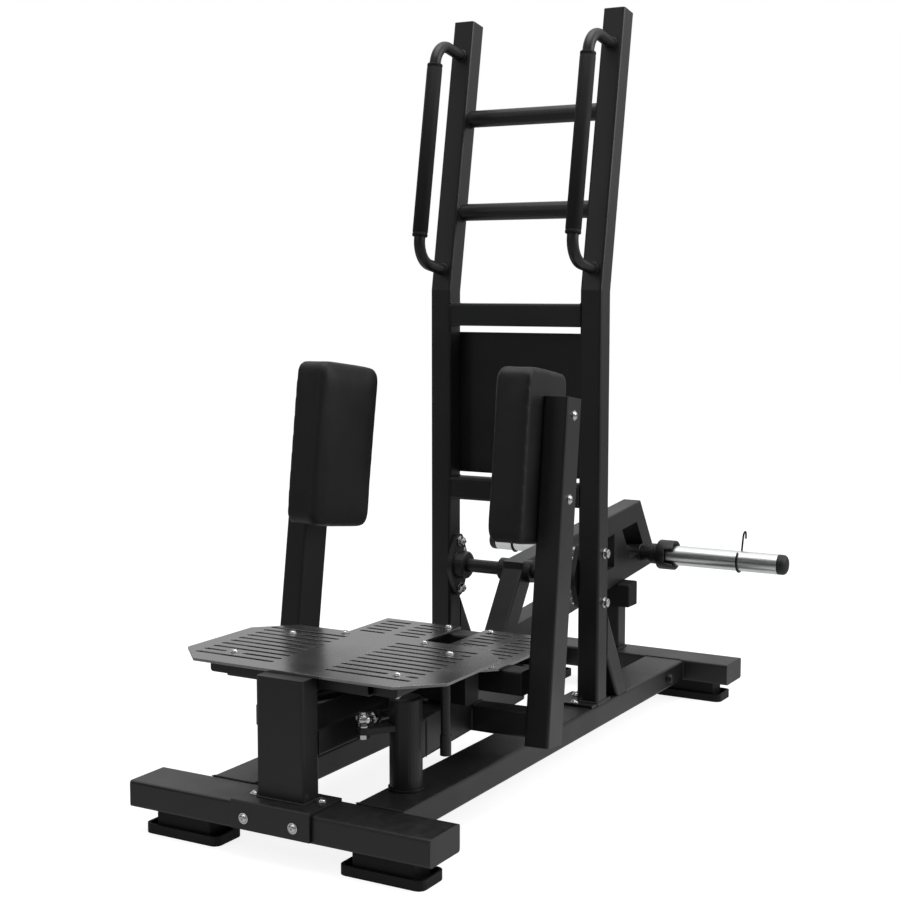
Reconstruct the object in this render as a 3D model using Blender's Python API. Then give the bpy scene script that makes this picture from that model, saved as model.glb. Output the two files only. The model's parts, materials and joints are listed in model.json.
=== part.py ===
"""Standing hip abductor machine, plate loaded, as separate solids at rest.

Units are metres and +Z is up. The user stands on the slotted platform with their back to
the leaning uprights and faces -Y. Lengths along Y are drawn from the front face of the
front cross tube, and world() moves them so that the origin is the bottom centre.
"""

import math

import bmesh
import bpy
from mathutils import Matrix, Vector

MM = 0.001

# Shared fits
GAP = 0.3 * MM
RUNNING_CLEARANCE = 0.1 * MM
BALL_CLEARANCE = 0.35 * MM
OPEN_EYE_CLEARANCE = 2.4 * MM

# Steel sections
TUBE = 50 * MM
HALF = TUBE / 2
FLAT_TUBE = 100 * MM
LOW_TUBE = 25 * MM
WALL = 3 * MM
CORNER = 5 * MM
DRAIN_RADIUS = 4 * MM
PLATE = 5 * MM
BRACKET_PLATE = 6 * MM

# Base frame
BASE_BOTTOM = 48 * MM
BASE_TOP = BASE_BOTTOM + TUBE
CROSS_HALF_LENGTH = 323 * MM
REAR_CROSS_FRONT = 1406 * MM
BASE_TUBE_X = 160 * MM
FOOT_INNER_X = 131 * MM
FOOT_LENGTH = 169 * MM
FOOT_WIDTH = 78 * MM
FOOT_RIM_HEIGHT = 18 * MM
FOOT_RIM = 5 * MM
FOOT_FLOOR = 6 * MM
FOOT_CORNER = 14 * MM
FOOT_BLOCK_LENGTH = 125 * MM
FOOT_BLOCK_WIDTH = 60 * MM
FRONT_FOOT_Y = 51 * MM
REAR_FOOT_Y = 1460 * MM
DRAIN_X = 20 * MM

# Front bracket, post and spine
BRACKET_HALF_WIDTH = 85 * MM
BRACKET_REAR = 95 * MM
BRACKET_BOTTOM = 52 * MM
POST_FRONT = 26 * MM
POST_REAR = POST_FRONT + TUBE
SPINE_BOTTOM = 179 * MM
SPINE_TOP = SPINE_BOTTOM + TUBE
SPINE_REAR = 735 * MM

# Platform
PLATFORM_TOP = 330 * MM
PLATFORM_BOTTOM = PLATFORM_TOP - PLATE
PLATFORM_HALF_WIDTH = 283 * MM
PLATFORM_FRONT = 57 * MM
PLATFORM_REAR = 390 * MM
PLATFORM_CHAMFER = 68 * MM
RAIL_X = 178 * MM
RAIL_FRONT = 92 * MM
BEARER_B_FRONT = 335 * MM
BEARER_B_HALF = 201 * MM
SLOT_WIDTH = 10 * MM
SLOT_LENGTH = 180 * MM
SLOT_PITCH = 26.5 * MM
SLOT_ROWS = 10
SLOT_FIRST_ROW = 106 * MM
SLOT_LEFT_START = -249 * MM
SLOT_RIGHT_START = 42 * MM
BOLT_ROWS = (1, 8)
BOLT_LAND = 36 * MM

# Lower foot plates
FOOT_PLATE_TOP = 282 * MM
FOOT_PLATE_BOTTOM = FOOT_PLATE_TOP - PLATE
FOOT_PLATE_INNER = 30 * MM
FOOT_PLATE_WIDTH = 186 * MM
FOOT_PLATE_FRONT = 413 * MM
FOOT_PLATE_REAR = 728 * MM
FOOT_PLATE_CHAMFER = 26 * MM
SHORT_SLOT_LENGTH = 64 * MM
SHORT_SLOT_OFFSETS = (14 * MM, 99 * MM)
SHORT_SLOT_FIRST_ROW = 435 * MM
SHORT_SLOT_ROWS = 11
BEARER_D_FRONT = 450 * MM
BEARER_D_HALF = 258 * MM
BEARER_E_FRONT = 680 * MM
BEARER_E_HALF = 200 * MM

# Uprights and what they carry
UPRIGHT_X = 185 * MM
UPRIGHT_INNER = UPRIGHT_X - HALF
UPRIGHT_Y = 930 * MM
KINK_Z = 998 * MM
LEAN = math.radians(10)
LEAN_LENGTH = 611 * MM
UPRIGHT_FOOT_HALF = 48 * MM
BRACE_TOP_CENTRE = 248 * MM
BRACE_ANGLE = math.radians(60)
CROSSBAR_LOW = 530 * MM
CROSSBAR_HIGH = 921 * MM
PANEL_BOTTOM = 588 * MM
PANEL_TOP = 906 * MM
PANEL_HALF_WIDTH = 185 * MM
PANEL_THICKNESS = 3 * MM
RUNG_RADIUS = 19 * MM
RUNG_LOW_SHARE = 0.2925
RUNG_HIGH_SHARE = 0.6415
HANDLE_RADIUS = 12.5 * MM
HANDLE_LOW = 44 * MM
HANDLE_HIGH = 532 * MM
HANDLE_STANDOFF = 108 * MM
HANDLE_BEND = 50 * MM
GRIP_RADIUS = 17 * MM
GRIP_LOW = 97 * MM
GRIP_HIGH = 481 * MM

# Lever shaft and bearings
SHAFT_Y = UPRIGHT_Y
SHAFT_Z = 377 * MM
SHAFT_RADIUS = 15 * MM
BEARING_PITCH = 54 * MM
BEARING_FLANGE = 12 * MM
BEARING_DEPTH = 34 * MM
BEARING_BOSS = 31 * MM
BEARING_CENTRE_RADIUS = 40 * MM
BEARING_END_RADIUS = 17 * MM
BEARING_BOLT_RADIUS = 6 * MM

# Lever
PIN_Y = 780 * MM
PIN_Z = 155 * MM
PIN_RADIUS = 8 * MM
LEVER_SLOPE = math.radians(5.36)
LOWER_TUBE_DROP = 132.3 * MM
REAR_EDGE_TOP = (1566 * MM, 464 * MM)
REAR_EDGE_LOW = (1650 * MM, 340 * MM)
LEVER_REAR = 1660 * MM
LEVER_CORNER = 1640 * MM
LEVER_HUB_RADIUS = 25 * MM
LEVER_HUB_HALF = 40 * MM
SHAFT_BUSH_RADIUS = 19 * MM
PIN_BUSH_RADIUS = 15 * MM

# Strut between the lever's two long tubes
STRUT_FRONT = 1404 * MM
STRUT_REAR = 1450 * MM

# Weight horns
HORN_Y = 1575 * MM
HORN_Z = 325.5 * MM
HORN_NECK_RADIUS = 20 * MM
COLLAR_INNER_X = 54 * MM
COLLAR_RADIUS = 26 * MM
CUP_INNER_X = 76 * MM
CUP_FLOOR = 10 * MM
CUP_DEPTH = 24 * MM
CUP_LIP = 20 * MM
CUP_RADIUS = 37.5 * MM
CUP_WALL = 6 * MM
CUP_NOTCH = 40 * MM
SLEEVE_RADIUS = 25 * MM
SLEEVE_BORE = 21.5 * MM
SLEEVE_END = 391 * MM
CORE_RADIUS = 14 * MM
CAP_DEPTH = 24 * MM
CLIP_RIGHT_X = 290 * MM
CLIP_LEFT_X = 340 * MM
CLIP_WIRE = 2.2 * MM
CLIP_OPENING = math.radians(70)

# Rear post and lever stop
REAR_POST_FRONT = 1431 * MM
REAR_POST_TOP = 209 * MM
STOP_FRONT = 1425 * MM
STOP_REAR = 1480 * MM
STOP_HALF_WIDTH = 56 * MM

# Arms
PIVOT_X = 145 * MM
PIVOT_Y = 215 * MM
ARM_REST_TURN = math.radians(4)
PIVOT_FLANGE_RADIUS = 33 * MM
PIVOT_FLANGE = 5 * MM
PIVOT_RADIUS = 20 * MM
PIVOT_TOP = 258 * MM
HUB_RADIUS = 30.5 * MM
HUB_TOP = 264 * MM
HUB_CAP_TOP = 269 * MM
LINK_BOTTOM = 150 * MM
LINK_TOP = 225 * MM
LINK_REACH = 486 * MM
OUTRIGGER_TOP = 200 * MM
LEG_X = 164.9 * MM
LEG_Y = 251.6 * MM
LEG_DEPTH = 75 * MM
LEG_BOTTOM = 133 * MM
LEG_LENGTH = 668 * MM
LEG_LEAN = math.radians(7.7)
LUG_BOTTOM = 210 * MM
LUG_TOP = 221 * MM
LUG_WIDTH = 29 * MM

# Pads
PAD_THICKNESS = 79 * MM
PAD_WIDTH = 198 * MM
PAD_LENGTH = 342 * MM
PAD_FORWARD = 11 * MM
PAD_START = 381 * MM
PAD_CORNER = 24 * MM
PAD_EDGE = 14 * MM
PAD_CROWN = 3.5 * MM
PAD_DRAW = 2.5 * MM

# Push rods and ball joints
BALL_X = 97 * MM
BALL_Y = 148 * MM
BALL_Z = 236 * MM
BALL_RADIUS = 11 * MM
STUD_RADIUS = 6 * MM
NUT_RADIUS = 11 * MM
NUT_HEIGHT = 9 * MM
EYE_X = 56 * MM
FRONT_EYE_RADIUS = 15 * MM
REAR_EYE_RADIUS = 20 * MM
EYE_HALF = 7 * MM
ROD_RADIUS = 9 * MM
ROD_NECK_RADIUS = 7.5 * MM
ROD_NECK_END = 62 * MM
LOCK_NUT = 10 * MM
PIN_COLLAR_RADIUS = 12 * MM
PIN_COLLAR_END = 43 * MM
PIN_NUT_START = 69 * MM
PIN_END = 81 * MM

# Swing stops
STOP_ROD_X = 207 * MM
STOP_ROD_Y = 251.5 * MM
STOP_ROD_RADIUS = 9 * MM
STOP_SLEEVE_RADIUS = 10.5 * MM
STOP_SLEEVE_TOP = 198 * MM
STOP_ROD_BOTTOM = 160 * MM

PIVOT_BASE = BASE_TOP + 2 * GAP + PIVOT_FLANGE
MIDDLE_Y = (LEVER_REAR - BRACKET_PLATE - GAP) / 2
SIDES = ((1, "right"), (-1, "left"))

FINISHES = {
    "black_coat": ((0.028, 0.028, 0.030), 0.42, 0.15),
    "platform_coat": ((0.045, 0.046, 0.050), 0.36, 0.45),
    "chrome": ((0.78, 0.79, 0.80), 0.12, 1.0),
    "machined_steel": ((0.42, 0.42, 0.43), 0.32, 0.9),
    "black_cast": ((0.032, 0.032, 0.034), 0.48, 0.2),
    "rubber": ((0.020, 0.020, 0.021), 0.78, 0.0),
    "pad_cover": ((0.022, 0.022, 0.024), 0.46, 0.0),
    "spring_wire": ((0.10, 0.10, 0.11), 0.38, 0.8),
}


def clear_scene():
    """Removes the objects that Blender starts with."""
    for item in list(bpy.data.objects):
        bpy.data.objects.remove(item, do_unlink=True)


def make_materials():
    """One Principled material for each finish."""
    made = {}
    for name, (colour, roughness, metallic) in FINISHES.items():
        made[name] = bpy.data.materials.new(name)
        made[name].use_nodes = True
        shader = made[name].node_tree.nodes["Principled BSDF"]
        shader.inputs["Base Color"].default_value = (*colour, 1)
        shader.inputs["Roughness"].default_value = roughness
        shader.inputs["Metallic"].default_value = metallic
    return made


def world(x, y, z):
    """A point drawn from the front face of the front cross tube, in world metres."""
    return Vector((x, y - MIDDLE_Y, z))


def place(name, shape, finish, at, turn=(0, 0, 0), side=1, parent=None):
    """Makes a named object of a closed shape. A side of -1 gives the mirrored left piece."""
    if side < 0:
        bmesh.ops.scale(shape, vec=(-1, 1, 1), verts=shape.verts)
        bmesh.ops.reverse_faces(shape, faces=shape.faces)
    mesh = bpy.data.meshes.new(name)
    shape.to_mesh(mesh)
    shape.free()
    mesh.materials.append(MATERIALS[finish])
    mesh.shade_smooth()
    mesh.set_sharp_from_angle(angle=math.radians(32))
    piece = bpy.data.objects.new(name, mesh)
    bpy.context.scene.collection.objects.link(piece)
    if parent is None:
        piece.location = world(side * at[0], at[1], at[2])
    else:
        piece.parent = parent
        piece.location = (side * at[0], at[1], at[2])
    piece.rotation_euler = (turn[0], side * turn[1], side * turn[2])
    return piece


def rounded_rectangle(width, height, radius, steps=2):
    """Anticlockwise (a, b) points of a rectangle about the centre, each corner an arc."""
    across = width / 2 - radius
    along = height / 2 - radius
    points = []
    for sign_a, sign_b, start in ((1, 1, 0), (-1, 1, 90), (-1, -1, 180), (1, -1, 270)):
        for step in range(steps + 1):
            angle = math.radians(start + 90 * step / steps)
            a = sign_a * across + radius * math.cos(angle)
            b = sign_b * along + radius * math.sin(angle)
            points.append((a, b))
    return points


def circle(radius, count=24, turn=0.0):
    """Anticlockwise (a, b) points of a circle."""
    angles = [turn + math.tau * step / count for step in range(count)]
    return [(radius * math.cos(angle), radius * math.sin(angle)) for angle in angles]


def moved(points, a, b):
    """The points shifted by (a, b)."""
    return [(point[0] + a, point[1] + b) for point in points]


def along_axis(axis, a, b, height):
    """The point at (a, b) on the plane across an axis: (y, z) on x, (x, z) on y, (x, y) on z."""
    if axis == "x":
        return Vector((height, a, b))
    if axis == "y":
        return Vector((a, height, b))
    return Vector((a, b, height))


def add_rings(shape, rings, closed=False):
    """Joins rings of equal point counts with four-sided faces and returns their vertices."""
    made = [[shape.verts.new(point) for point in ring] for ring in rings]
    pairs = list(zip(made, made[1:]))
    if closed:
        pairs.append((made[-1], made[0]))
    for first, second in pairs:
        for k in range(len(first)):
            after = (k + 1) % len(first)
            shape.faces.new((first[k], first[after], second[after], second[k]))
    return made


def outward(shape):
    """Turns the faces of a closed shape to the outside."""
    bmesh.ops.recalc_face_normals(shape, faces=shape.faces)
    return shape


def prism(outline, axis, low, high):
    """A closed solid: the outline pulled along x, y or z from low to high."""
    shape = bmesh.new()
    rings = [[along_axis(axis, a, b, level) for a, b in outline] for level in (low, high)]
    first, last = add_rings(shape, rings)
    shape.faces.new(first)
    shape.faces.new(last)
    return outward(shape)


def lathe(profile, axis, count=32, ring=False):
    """A solid of revolution about an axis, from (height, radius) pairs.

    With ring=True the profile closes on itself and leaves the middle open. Otherwise its
    first and last radius are 0.
    """
    shape = bmesh.new()
    body = profile if ring else profile[1:-1]
    rings = [
        [along_axis(axis, a, b, height) for a, b in circle(radius, count)]
        for height, radius in body
    ]
    made = add_rings(shape, rings, closed=ring)
    if not ring:
        for end, loop in ((profile[0], made[0]), (profile[-1], made[-1])):
            if abs(end[0] - (body[0] if loop is made[0] else body[-1])[0]) < 1e-9:
                shape.faces.new(loop)
                continue
            tip = shape.verts.new(along_axis(axis, 0, 0, end[0]))
            for k in range(count):
                shape.faces.new((loop[k], loop[(k + 1) % count], tip))
    return outward(shape)


def ball(radius, rings=12, count=24, axis="z"):
    """A sphere about the origin with its poles on an axis."""
    steps = [math.pi * step / rings for step in range(rings + 1)]
    profile = [(-radius * math.cos(angle), radius * math.sin(angle)) for angle in steps]
    return lathe(profile, axis, count)


def shifted(shape, offset):
    """The same shape moved by an offset."""
    bmesh.ops.translate(shape, vec=Vector(offset), verts=shape.verts)
    return shape


def turned(shape, angle, axis):
    """The same shape turned about an axis through the origin."""
    matrix = Matrix.Rotation(angle, 3, axis.upper())
    bmesh.ops.rotate(shape, cent=(0, 0, 0), matrix=matrix, verts=shape.verts)
    return shape


def box(low, high):
    """A rectangular block between two corners."""
    outline = [(low[0], low[1]), (high[0], low[1]), (high[0], high[1]), (low[0], high[1])]
    return prism(outline, "z", low[2], high[2])


def swept_rings(path, section, start_cut=None, end_cut=None):
    """Rings of a section carried along a path that lies in a plane of constant x.

    The section's first number runs along x and its second across the path. Each ring lies
    on the mitre plane between its two lengths, or on the plane of a cut at an end.
    """
    points = [Vector(point) for point in path]
    lengths = [(after - before).normalized() for before, after in zip(points, points[1:])]
    rings = []
    for index, point in enumerate(points):
        along = lengths[min(index, len(lengths) - 1)]
        normal = along.copy()
        if 0 < index < len(points) - 1:
            normal = (lengths[index - 1] + lengths[index]).normalized()
        elif index == 0 and start_cut:
            normal = Vector(start_cut)
        elif index > 0 and end_cut:
            normal = Vector(end_cut)
        across = Vector((1, 0, 0)).cross(along)
        ring = []
        for a, b in section:
            offset = Vector((a, 0, 0)) + across * b
            ring.append(point + offset - along * (offset.dot(normal) / along.dot(normal)))
        rings.append(ring)
    return rings


def swept_solid(path, section, start_cut=None, end_cut=None):
    """A closed solid along a path."""
    shape = bmesh.new()
    made = add_rings(shape, swept_rings(path, section, start_cut, end_cut))
    shape.faces.new(made[0])
    shape.faces.new(made[-1])
    return outward(shape)


def swept_tube(path, outer, inner, start_cut=None, end_cut=None):
    """A tube along a path, open at both ends."""
    shape = bmesh.new()
    outside = swept_rings(path, outer, start_cut, end_cut)
    inside = swept_rings(path, inner, start_cut, end_cut)
    add_rings(shape, outside + inside[::-1], closed=True)
    return outward(shape)


def sections(width, height):
    """The outer and inner outlines of a rectangular steel tube."""
    outer = rounded_rectangle(width, height, CORNER)
    inner = rounded_rectangle(width - 2 * WALL, height - 2 * WALL, CORNER - WALL)
    return outer, inner


def combined(body, joins=(), cuts=(), last_joins=()):
    """One closed shape: the body with joins added, cuts taken away, and the last joins added."""
    helpers = []
    for shape in (body, *joins, *cuts, *last_joins):
        mesh = bpy.data.meshes.new("helper")
        shape.to_mesh(mesh)
        shape.free()
        helper = bpy.data.objects.new("helper", mesh)
        helper.hide_render = True
        helper.display_type = "WIRE"
        bpy.context.scene.collection.objects.link(helper)
        helpers.append(helper)
    base, tools = helpers[0], helpers[1:]
    for index, tool in enumerate(tools):
        step = base.modifiers.new("Boolean", "BOOLEAN")
        is_cut = len(joins) <= index < len(joins) + len(cuts)
        step.operation = "DIFFERENCE" if is_cut else "UNION"
        step.solver = "EXACT"
        step.object = tool
    bpy.context.view_layer.update()
    result = bmesh.new()
    result.from_object(base, bpy.context.evaluated_depsgraph_get())
    for helper in helpers:
        bpy.data.objects.remove(helper, do_unlink=True)
    bmesh.ops.remove_doubles(result, verts=result.verts, dist=0.00002)
    bmesh.ops.dissolve_degenerate(result, edges=result.edges, dist=0.00001)
    return result


def hexagon(radius):
    """Outline of a nut."""
    return circle(radius, 6, math.radians(30))


def meeting(first, second):
    """Where two lines in the plane cross, each given as (point, direction)."""
    (p, d), (q, e) = first, second
    cross = d[0] * e[1] - d[1] * e[0]
    reach = ((q[0] - p[0]) * e[1] - (q[1] - p[1]) * e[0]) / cross
    return (p[0] + d[0] * reach, p[1] + d[1] * reach)


def beside(line, distance):
    """The line moved to its left by a distance."""
    (p, d) = line
    return ((p[0] - d[1] * distance, p[1] + d[0] * distance), d)


def unit(start, end):
    """Unit direction between two (a, b) points."""
    reach = math.hypot(end[0] - start[0], end[1] - start[1])
    return ((end[0] - start[0]) / reach, (end[1] - start[1]) / reach)


def offset_outline(points, distance):
    """An anticlockwise outline moved inward by a distance, with sharp corners kept."""
    edges = []
    for index, point in enumerate(points):
        following = points[(index + 1) % len(points)]
        edges.append(beside((point, unit(point, following)), distance))
    return [meeting(edges[index - 1], edges[index]) for index in range(len(points))]


def closed_cross_tube(length_half, width, height, drain_x):
    """A tube along x with both ends welded shut and a drain hole under it."""
    outer, inner = sections(width, height)
    body = prism(outer, "x", -length_half, length_half)
    hollow = prism(inner, "x", WALL - length_half, length_half - WALL)
    drain = prism(moved(circle(DRAIN_RADIUS, 12), drain_x, 0), "z", -height, 0)
    return combined(body, cuts=(hollow, drain))


def open_cross_tube(length_half, width, height):
    """A tube along x, open at both ends."""
    outer, inner = sections(width, height)
    shape = bmesh.new()
    rings = []
    for outline, ends in ((outer, (-1, 1)), (inner, (1, -1))):
        for end in ends:
            rings.append([along_axis("x", a, b, end * length_half) for a, b in outline])
    add_rings(shape, rings, closed=True)
    return outward(shape)


def standing_tube(width, depth, height):
    """A tube along z from 0 to a height, open at both ends."""
    outer, inner = sections(width, depth)
    return swept_tube(((0, 0, 0), (0, 0, height)), outer, inner)


def foot():
    """A moulded foot: a tray with a raised rim and a block that carries the cross tube."""
    tray = prism(rounded_rectangle(FOOT_LENGTH, FOOT_WIDTH, FOOT_CORNER, 3), "z", 0, FOOT_RIM_HEIGHT)
    pocket_outline = rounded_rectangle(
        FOOT_LENGTH - 2 * FOOT_RIM, FOOT_WIDTH - 2 * FOOT_RIM, FOOT_CORNER - FOOT_RIM, 3
    )
    pocket = prism(pocket_outline, "z", FOOT_FLOOR, FOOT_RIM_HEIGHT + FOOT_FLOOR)
    tray = combined(tray, cuts=(pocket,))
    block_outline = rounded_rectangle(FOOT_BLOCK_LENGTH, FOOT_BLOCK_WIDTH, FOOT_RIM, 2)
    block = prism(block_outline, "z", FOOT_FLOOR / 2, BASE_BOTTOM - GAP)
    return combined(tray, joins=(block,))


def build_base():
    """Feet, cross tubes and the two long tubes between them."""
    foot_x = FOOT_INNER_X + FOOT_LENGTH / 2
    for side, name in SIDES:
        place(f"foot_front_{name}", foot(), "rubber", (foot_x, FRONT_FOOT_Y, 0), side=side)
        place(f"foot_rear_{name}", foot(), "rubber", (foot_x, REAR_FOOT_Y, 0), side=side)
        outer, inner = sections(FLAT_TUBE, TUBE)
        length = REAR_CROSS_FRONT - FLAT_TUBE - 2 * GAP
        shape = swept_tube(((0, 0, 0), (0, length, 0)), outer, inner)
        at = (BASE_TUBE_X, FLAT_TUBE + GAP, BASE_BOTTOM + HALF)
        place(f"base_tube_{name}", shape, "black_coat", at, side=side)
    for name, front in (("front_cross_tube", 0), ("rear_cross_tube", REAR_CROSS_FRONT)):
        shape = closed_cross_tube(CROSS_HALF_LENGTH, FLAT_TUBE, TUBE, DRAIN_X)
        place(name, shape, "black_coat", (0, front + FLAT_TUBE / 2, BASE_BOTTOM + HALF))


def build_platform_supports():
    """Bracket, posts, spine, bearers and rails under the standing plates."""
    outline = [
        (-BRACKET_PLATE - GAP, BRACKET_BOTTOM),
        (-GAP, BRACKET_BOTTOM),
        (-GAP, BASE_TOP + GAP),
        (BRACKET_REAR, BASE_TOP + GAP),
        (BRACKET_REAR, BASE_TOP + GAP + BRACKET_PLATE),
        (2 * MM - BRACKET_PLATE, BASE_TOP + GAP + BRACKET_PLATE),
        (-BRACKET_PLATE - GAP, BASE_TOP + BRACKET_PLATE - 2 * MM),
    ]
    shape = prism(outline, "x", -BRACKET_HALF_WIDTH, BRACKET_HALF_WIDTH)
    place("front_bracket", shape, "black_coat", (0, 0, 0))

    post_bottom = BASE_TOP + BRACKET_PLATE + 2 * GAP
    post_height = PLATFORM_BOTTOM - GAP - post_bottom
    outer, inner = sections(FLAT_TUBE, TUBE)
    body = swept_solid(((0, 0, 0), (0, 0, post_height)), outer)
    hollow = swept_solid(((0, 0, -WALL), (0, 0, post_height - WALL)), inner)
    shape = combined(body, cuts=(hollow,))
    place("front_post", shape, "black_coat", (0, POST_FRONT + HALF, post_bottom))

    spine_start = POST_REAR + GAP
    length = SPINE_REAR - spine_start
    body = swept_solid(((0, 0, 0), (0, length, 0)), outer)
    hollow = swept_solid(((0, -WALL, 0), (0, length - WALL, 0)), inner)
    shape = combined(body, cuts=(hollow,))
    place("spine", shape, "black_coat", (0, spine_start, SPINE_BOTTOM + HALF))

    post_height = SPINE_BOTTOM - GAP - BASE_TOP - GAP
    at = (0, BEARER_E_FRONT + HALF, BASE_TOP + GAP)
    place("rear_platform_post", standing_tube(TUBE, TUBE, post_height), "black_coat", at)
    tie_half = BASE_TUBE_X - FLAT_TUBE / 2 - GAP
    at = (0, BEARER_E_FRONT + HALF, BASE_TOP - LOW_TUBE / 2)
    place("base_tie", open_cross_tube(tie_half, TUBE, LOW_TUBE), "black_coat", at)

    height = PLATFORM_BOTTOM - SPINE_TOP - 2 * GAP
    shape = closed_cross_tube(BEARER_B_HALF, TUBE, height, FLAT_TUBE)
    at = (0, BEARER_B_FRONT + HALF, SPINE_TOP + GAP + height / 2)
    place("bearer_front", shape, "black_coat", at)
    height = FOOT_PLATE_BOTTOM - SPINE_TOP - 2 * GAP
    for name, half, front in (
        ("bearer_middle", BEARER_D_HALF, BEARER_D_FRONT),
        ("bearer_rear", BEARER_E_HALF, BEARER_E_FRONT),
    ):
        shape = closed_cross_tube(half, TUBE, height, FLAT_TUBE)
        place(name, shape, "black_coat", (0, front + HALF, SPINE_TOP + GAP + height / 2))

    rail_z = PLATFORM_BOTTOM - GAP - LOW_TUBE / 2
    outer, inner = sections(TUBE, LOW_TUBE)
    length = BEARER_B_FRONT - GAP - RAIL_FRONT
    for side, name in SIDES:
        body = swept_solid(((0, 0, 0), (0, length, 0)), outer)
        hollow = swept_solid(((0, WALL, 0), (0, length + WALL, 0)), inner)
        shape = combined(body, cuts=(hollow,))
        at = (RAIL_X, RAIL_FRONT, rail_z)
        place(f"platform_rail_{name}", shape, "black_coat", at, side=side)
    shape = open_cross_tube(RAIL_X - HALF - GAP, TUBE, LOW_TUBE)
    place("front_bearer", shape, "black_coat", (0, POST_REAR + GAP + HALF, rail_z))


def slot(start, length, row):
    """Outline of one slot along x with round ends."""
    radius = SLOT_WIDTH / 2
    points = []
    for centre, first in ((start + length - radius, -90), (start + radius, 90)):
        for step in range(4):
            angle = math.radians(first + 60 * step)
            points.append((centre + radius * math.cos(angle), row + radius * math.sin(angle)))
    return points


def slotted_plate(outline, slots):
    """A flat plate with its top at z = 0 and slots cut right through."""
    cutter = bmesh.new()
    for points in slots:
        rings = [[along_axis("z", a, b, level) for a, b in points] for level in (-2 * PLATE, PLATE)]
        first, last = add_rings(cutter, rings)
        cutter.faces.new(first)
        cutter.faces.new(last)
    return combined(prism(outline, "z", -PLATE, 0), cuts=(outward(cutter),))


def platform_slots():
    """Ten rows in two groups. Two rows of each group stop beside a fixing bolt."""
    slots = []
    for index in range(SLOT_ROWS):
        row = SLOT_FIRST_ROW + index * SLOT_PITCH
        for start, bolt in ((SLOT_LEFT_START, -RAIL_X), (SLOT_RIGHT_START, RAIL_X)):
            end = start + SLOT_LENGTH
            if index in BOLT_ROWS:
                slots.append(slot(start, bolt - BOLT_LAND / 2 - start, row))
                slots.append(slot(bolt + BOLT_LAND / 2, end - bolt - BOLT_LAND / 2, row))
            else:
                slots.append(slot(start, SLOT_LENGTH, row))
    return slots


def build_platform():
    """The slotted standing plate and the two lower foot plates behind it."""
    w, c = PLATFORM_HALF_WIDTH, PLATFORM_CHAMFER
    front, rear = PLATFORM_FRONT, PLATFORM_REAR
    outline = [
        (c - w, front),
        (w - c, front),
        (w, front + c),
        (w, rear - c),
        (w - c, rear),
        (c - w, rear),
        (-w, rear - c),
        (-w, front + c),
    ]
    shape = slotted_plate(outline, platform_slots())
    place("platform_plate", shape, "platform_coat", (0, 0, PLATFORM_TOP))

    for side, name in SIDES:
        low = FOOT_PLATE_INNER if side > 0 else -FOOT_PLATE_INNER - FOOT_PLATE_WIDTH
        high = low + FOOT_PLATE_WIDTH
        cut_low = 0 if side > 0 else FOOT_PLATE_CHAMFER
        cut_high = FOOT_PLATE_CHAMFER - cut_low
        outline = [
            (low + cut_low, FOOT_PLATE_FRONT),
            (high - cut_high, FOOT_PLATE_FRONT),
            (high, FOOT_PLATE_FRONT + cut_high),
            (high, FOOT_PLATE_REAR),
            (low, FOOT_PLATE_REAR),
            (low, FOOT_PLATE_FRONT + cut_low),
        ]
        outline = [point for index, point in enumerate(outline) if point != outline[index - 1]]
        slots = []
        for index in range(SHORT_SLOT_ROWS):
            row = SHORT_SLOT_FIRST_ROW + index * SLOT_PITCH
            for offset in SHORT_SLOT_OFFSETS:
                slots.append(slot(low + offset, SHORT_SLOT_LENGTH, row))
        shape = slotted_plate(outline, slots)
        place(f"foot_plate_{name}", shape, "platform_coat", (0, 0, FOOT_PLATE_TOP))


def lean_point(along, out):
    """(y, z) of a point on the leaning part of an upright, out from its front face."""
    y = UPRIGHT_Y + along * math.sin(LEAN) - (HALF + out) * math.cos(LEAN)
    z = KINK_Z + along * math.cos(LEAN) + (HALF + out) * math.sin(LEAN)
    return y, z


def handle_path():
    """Centre line of a handle in the (y, z) plane, with a round bend at each end."""
    start = GAP
    points = [(HANDLE_LOW, start)]
    reach = HANDLE_STANDOFF - HANDLE_BEND
    for step in range(5):
        angle = math.radians(22.5 * step)
        along = HANDLE_LOW + HANDLE_BEND * (1 - math.cos(angle))
        points.append((along, reach + HANDLE_BEND * math.sin(angle)))
    for step in range(5):
        angle = math.radians(90 - 22.5 * step)
        along = HANDLE_HIGH - HANDLE_BEND * (1 - math.cos(angle))
        points.append((along, reach + HANDLE_BEND * math.sin(angle)))
    points.append((HANDLE_HIGH, start))
    return [lean_point(along, out) for along, out in points]


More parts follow.
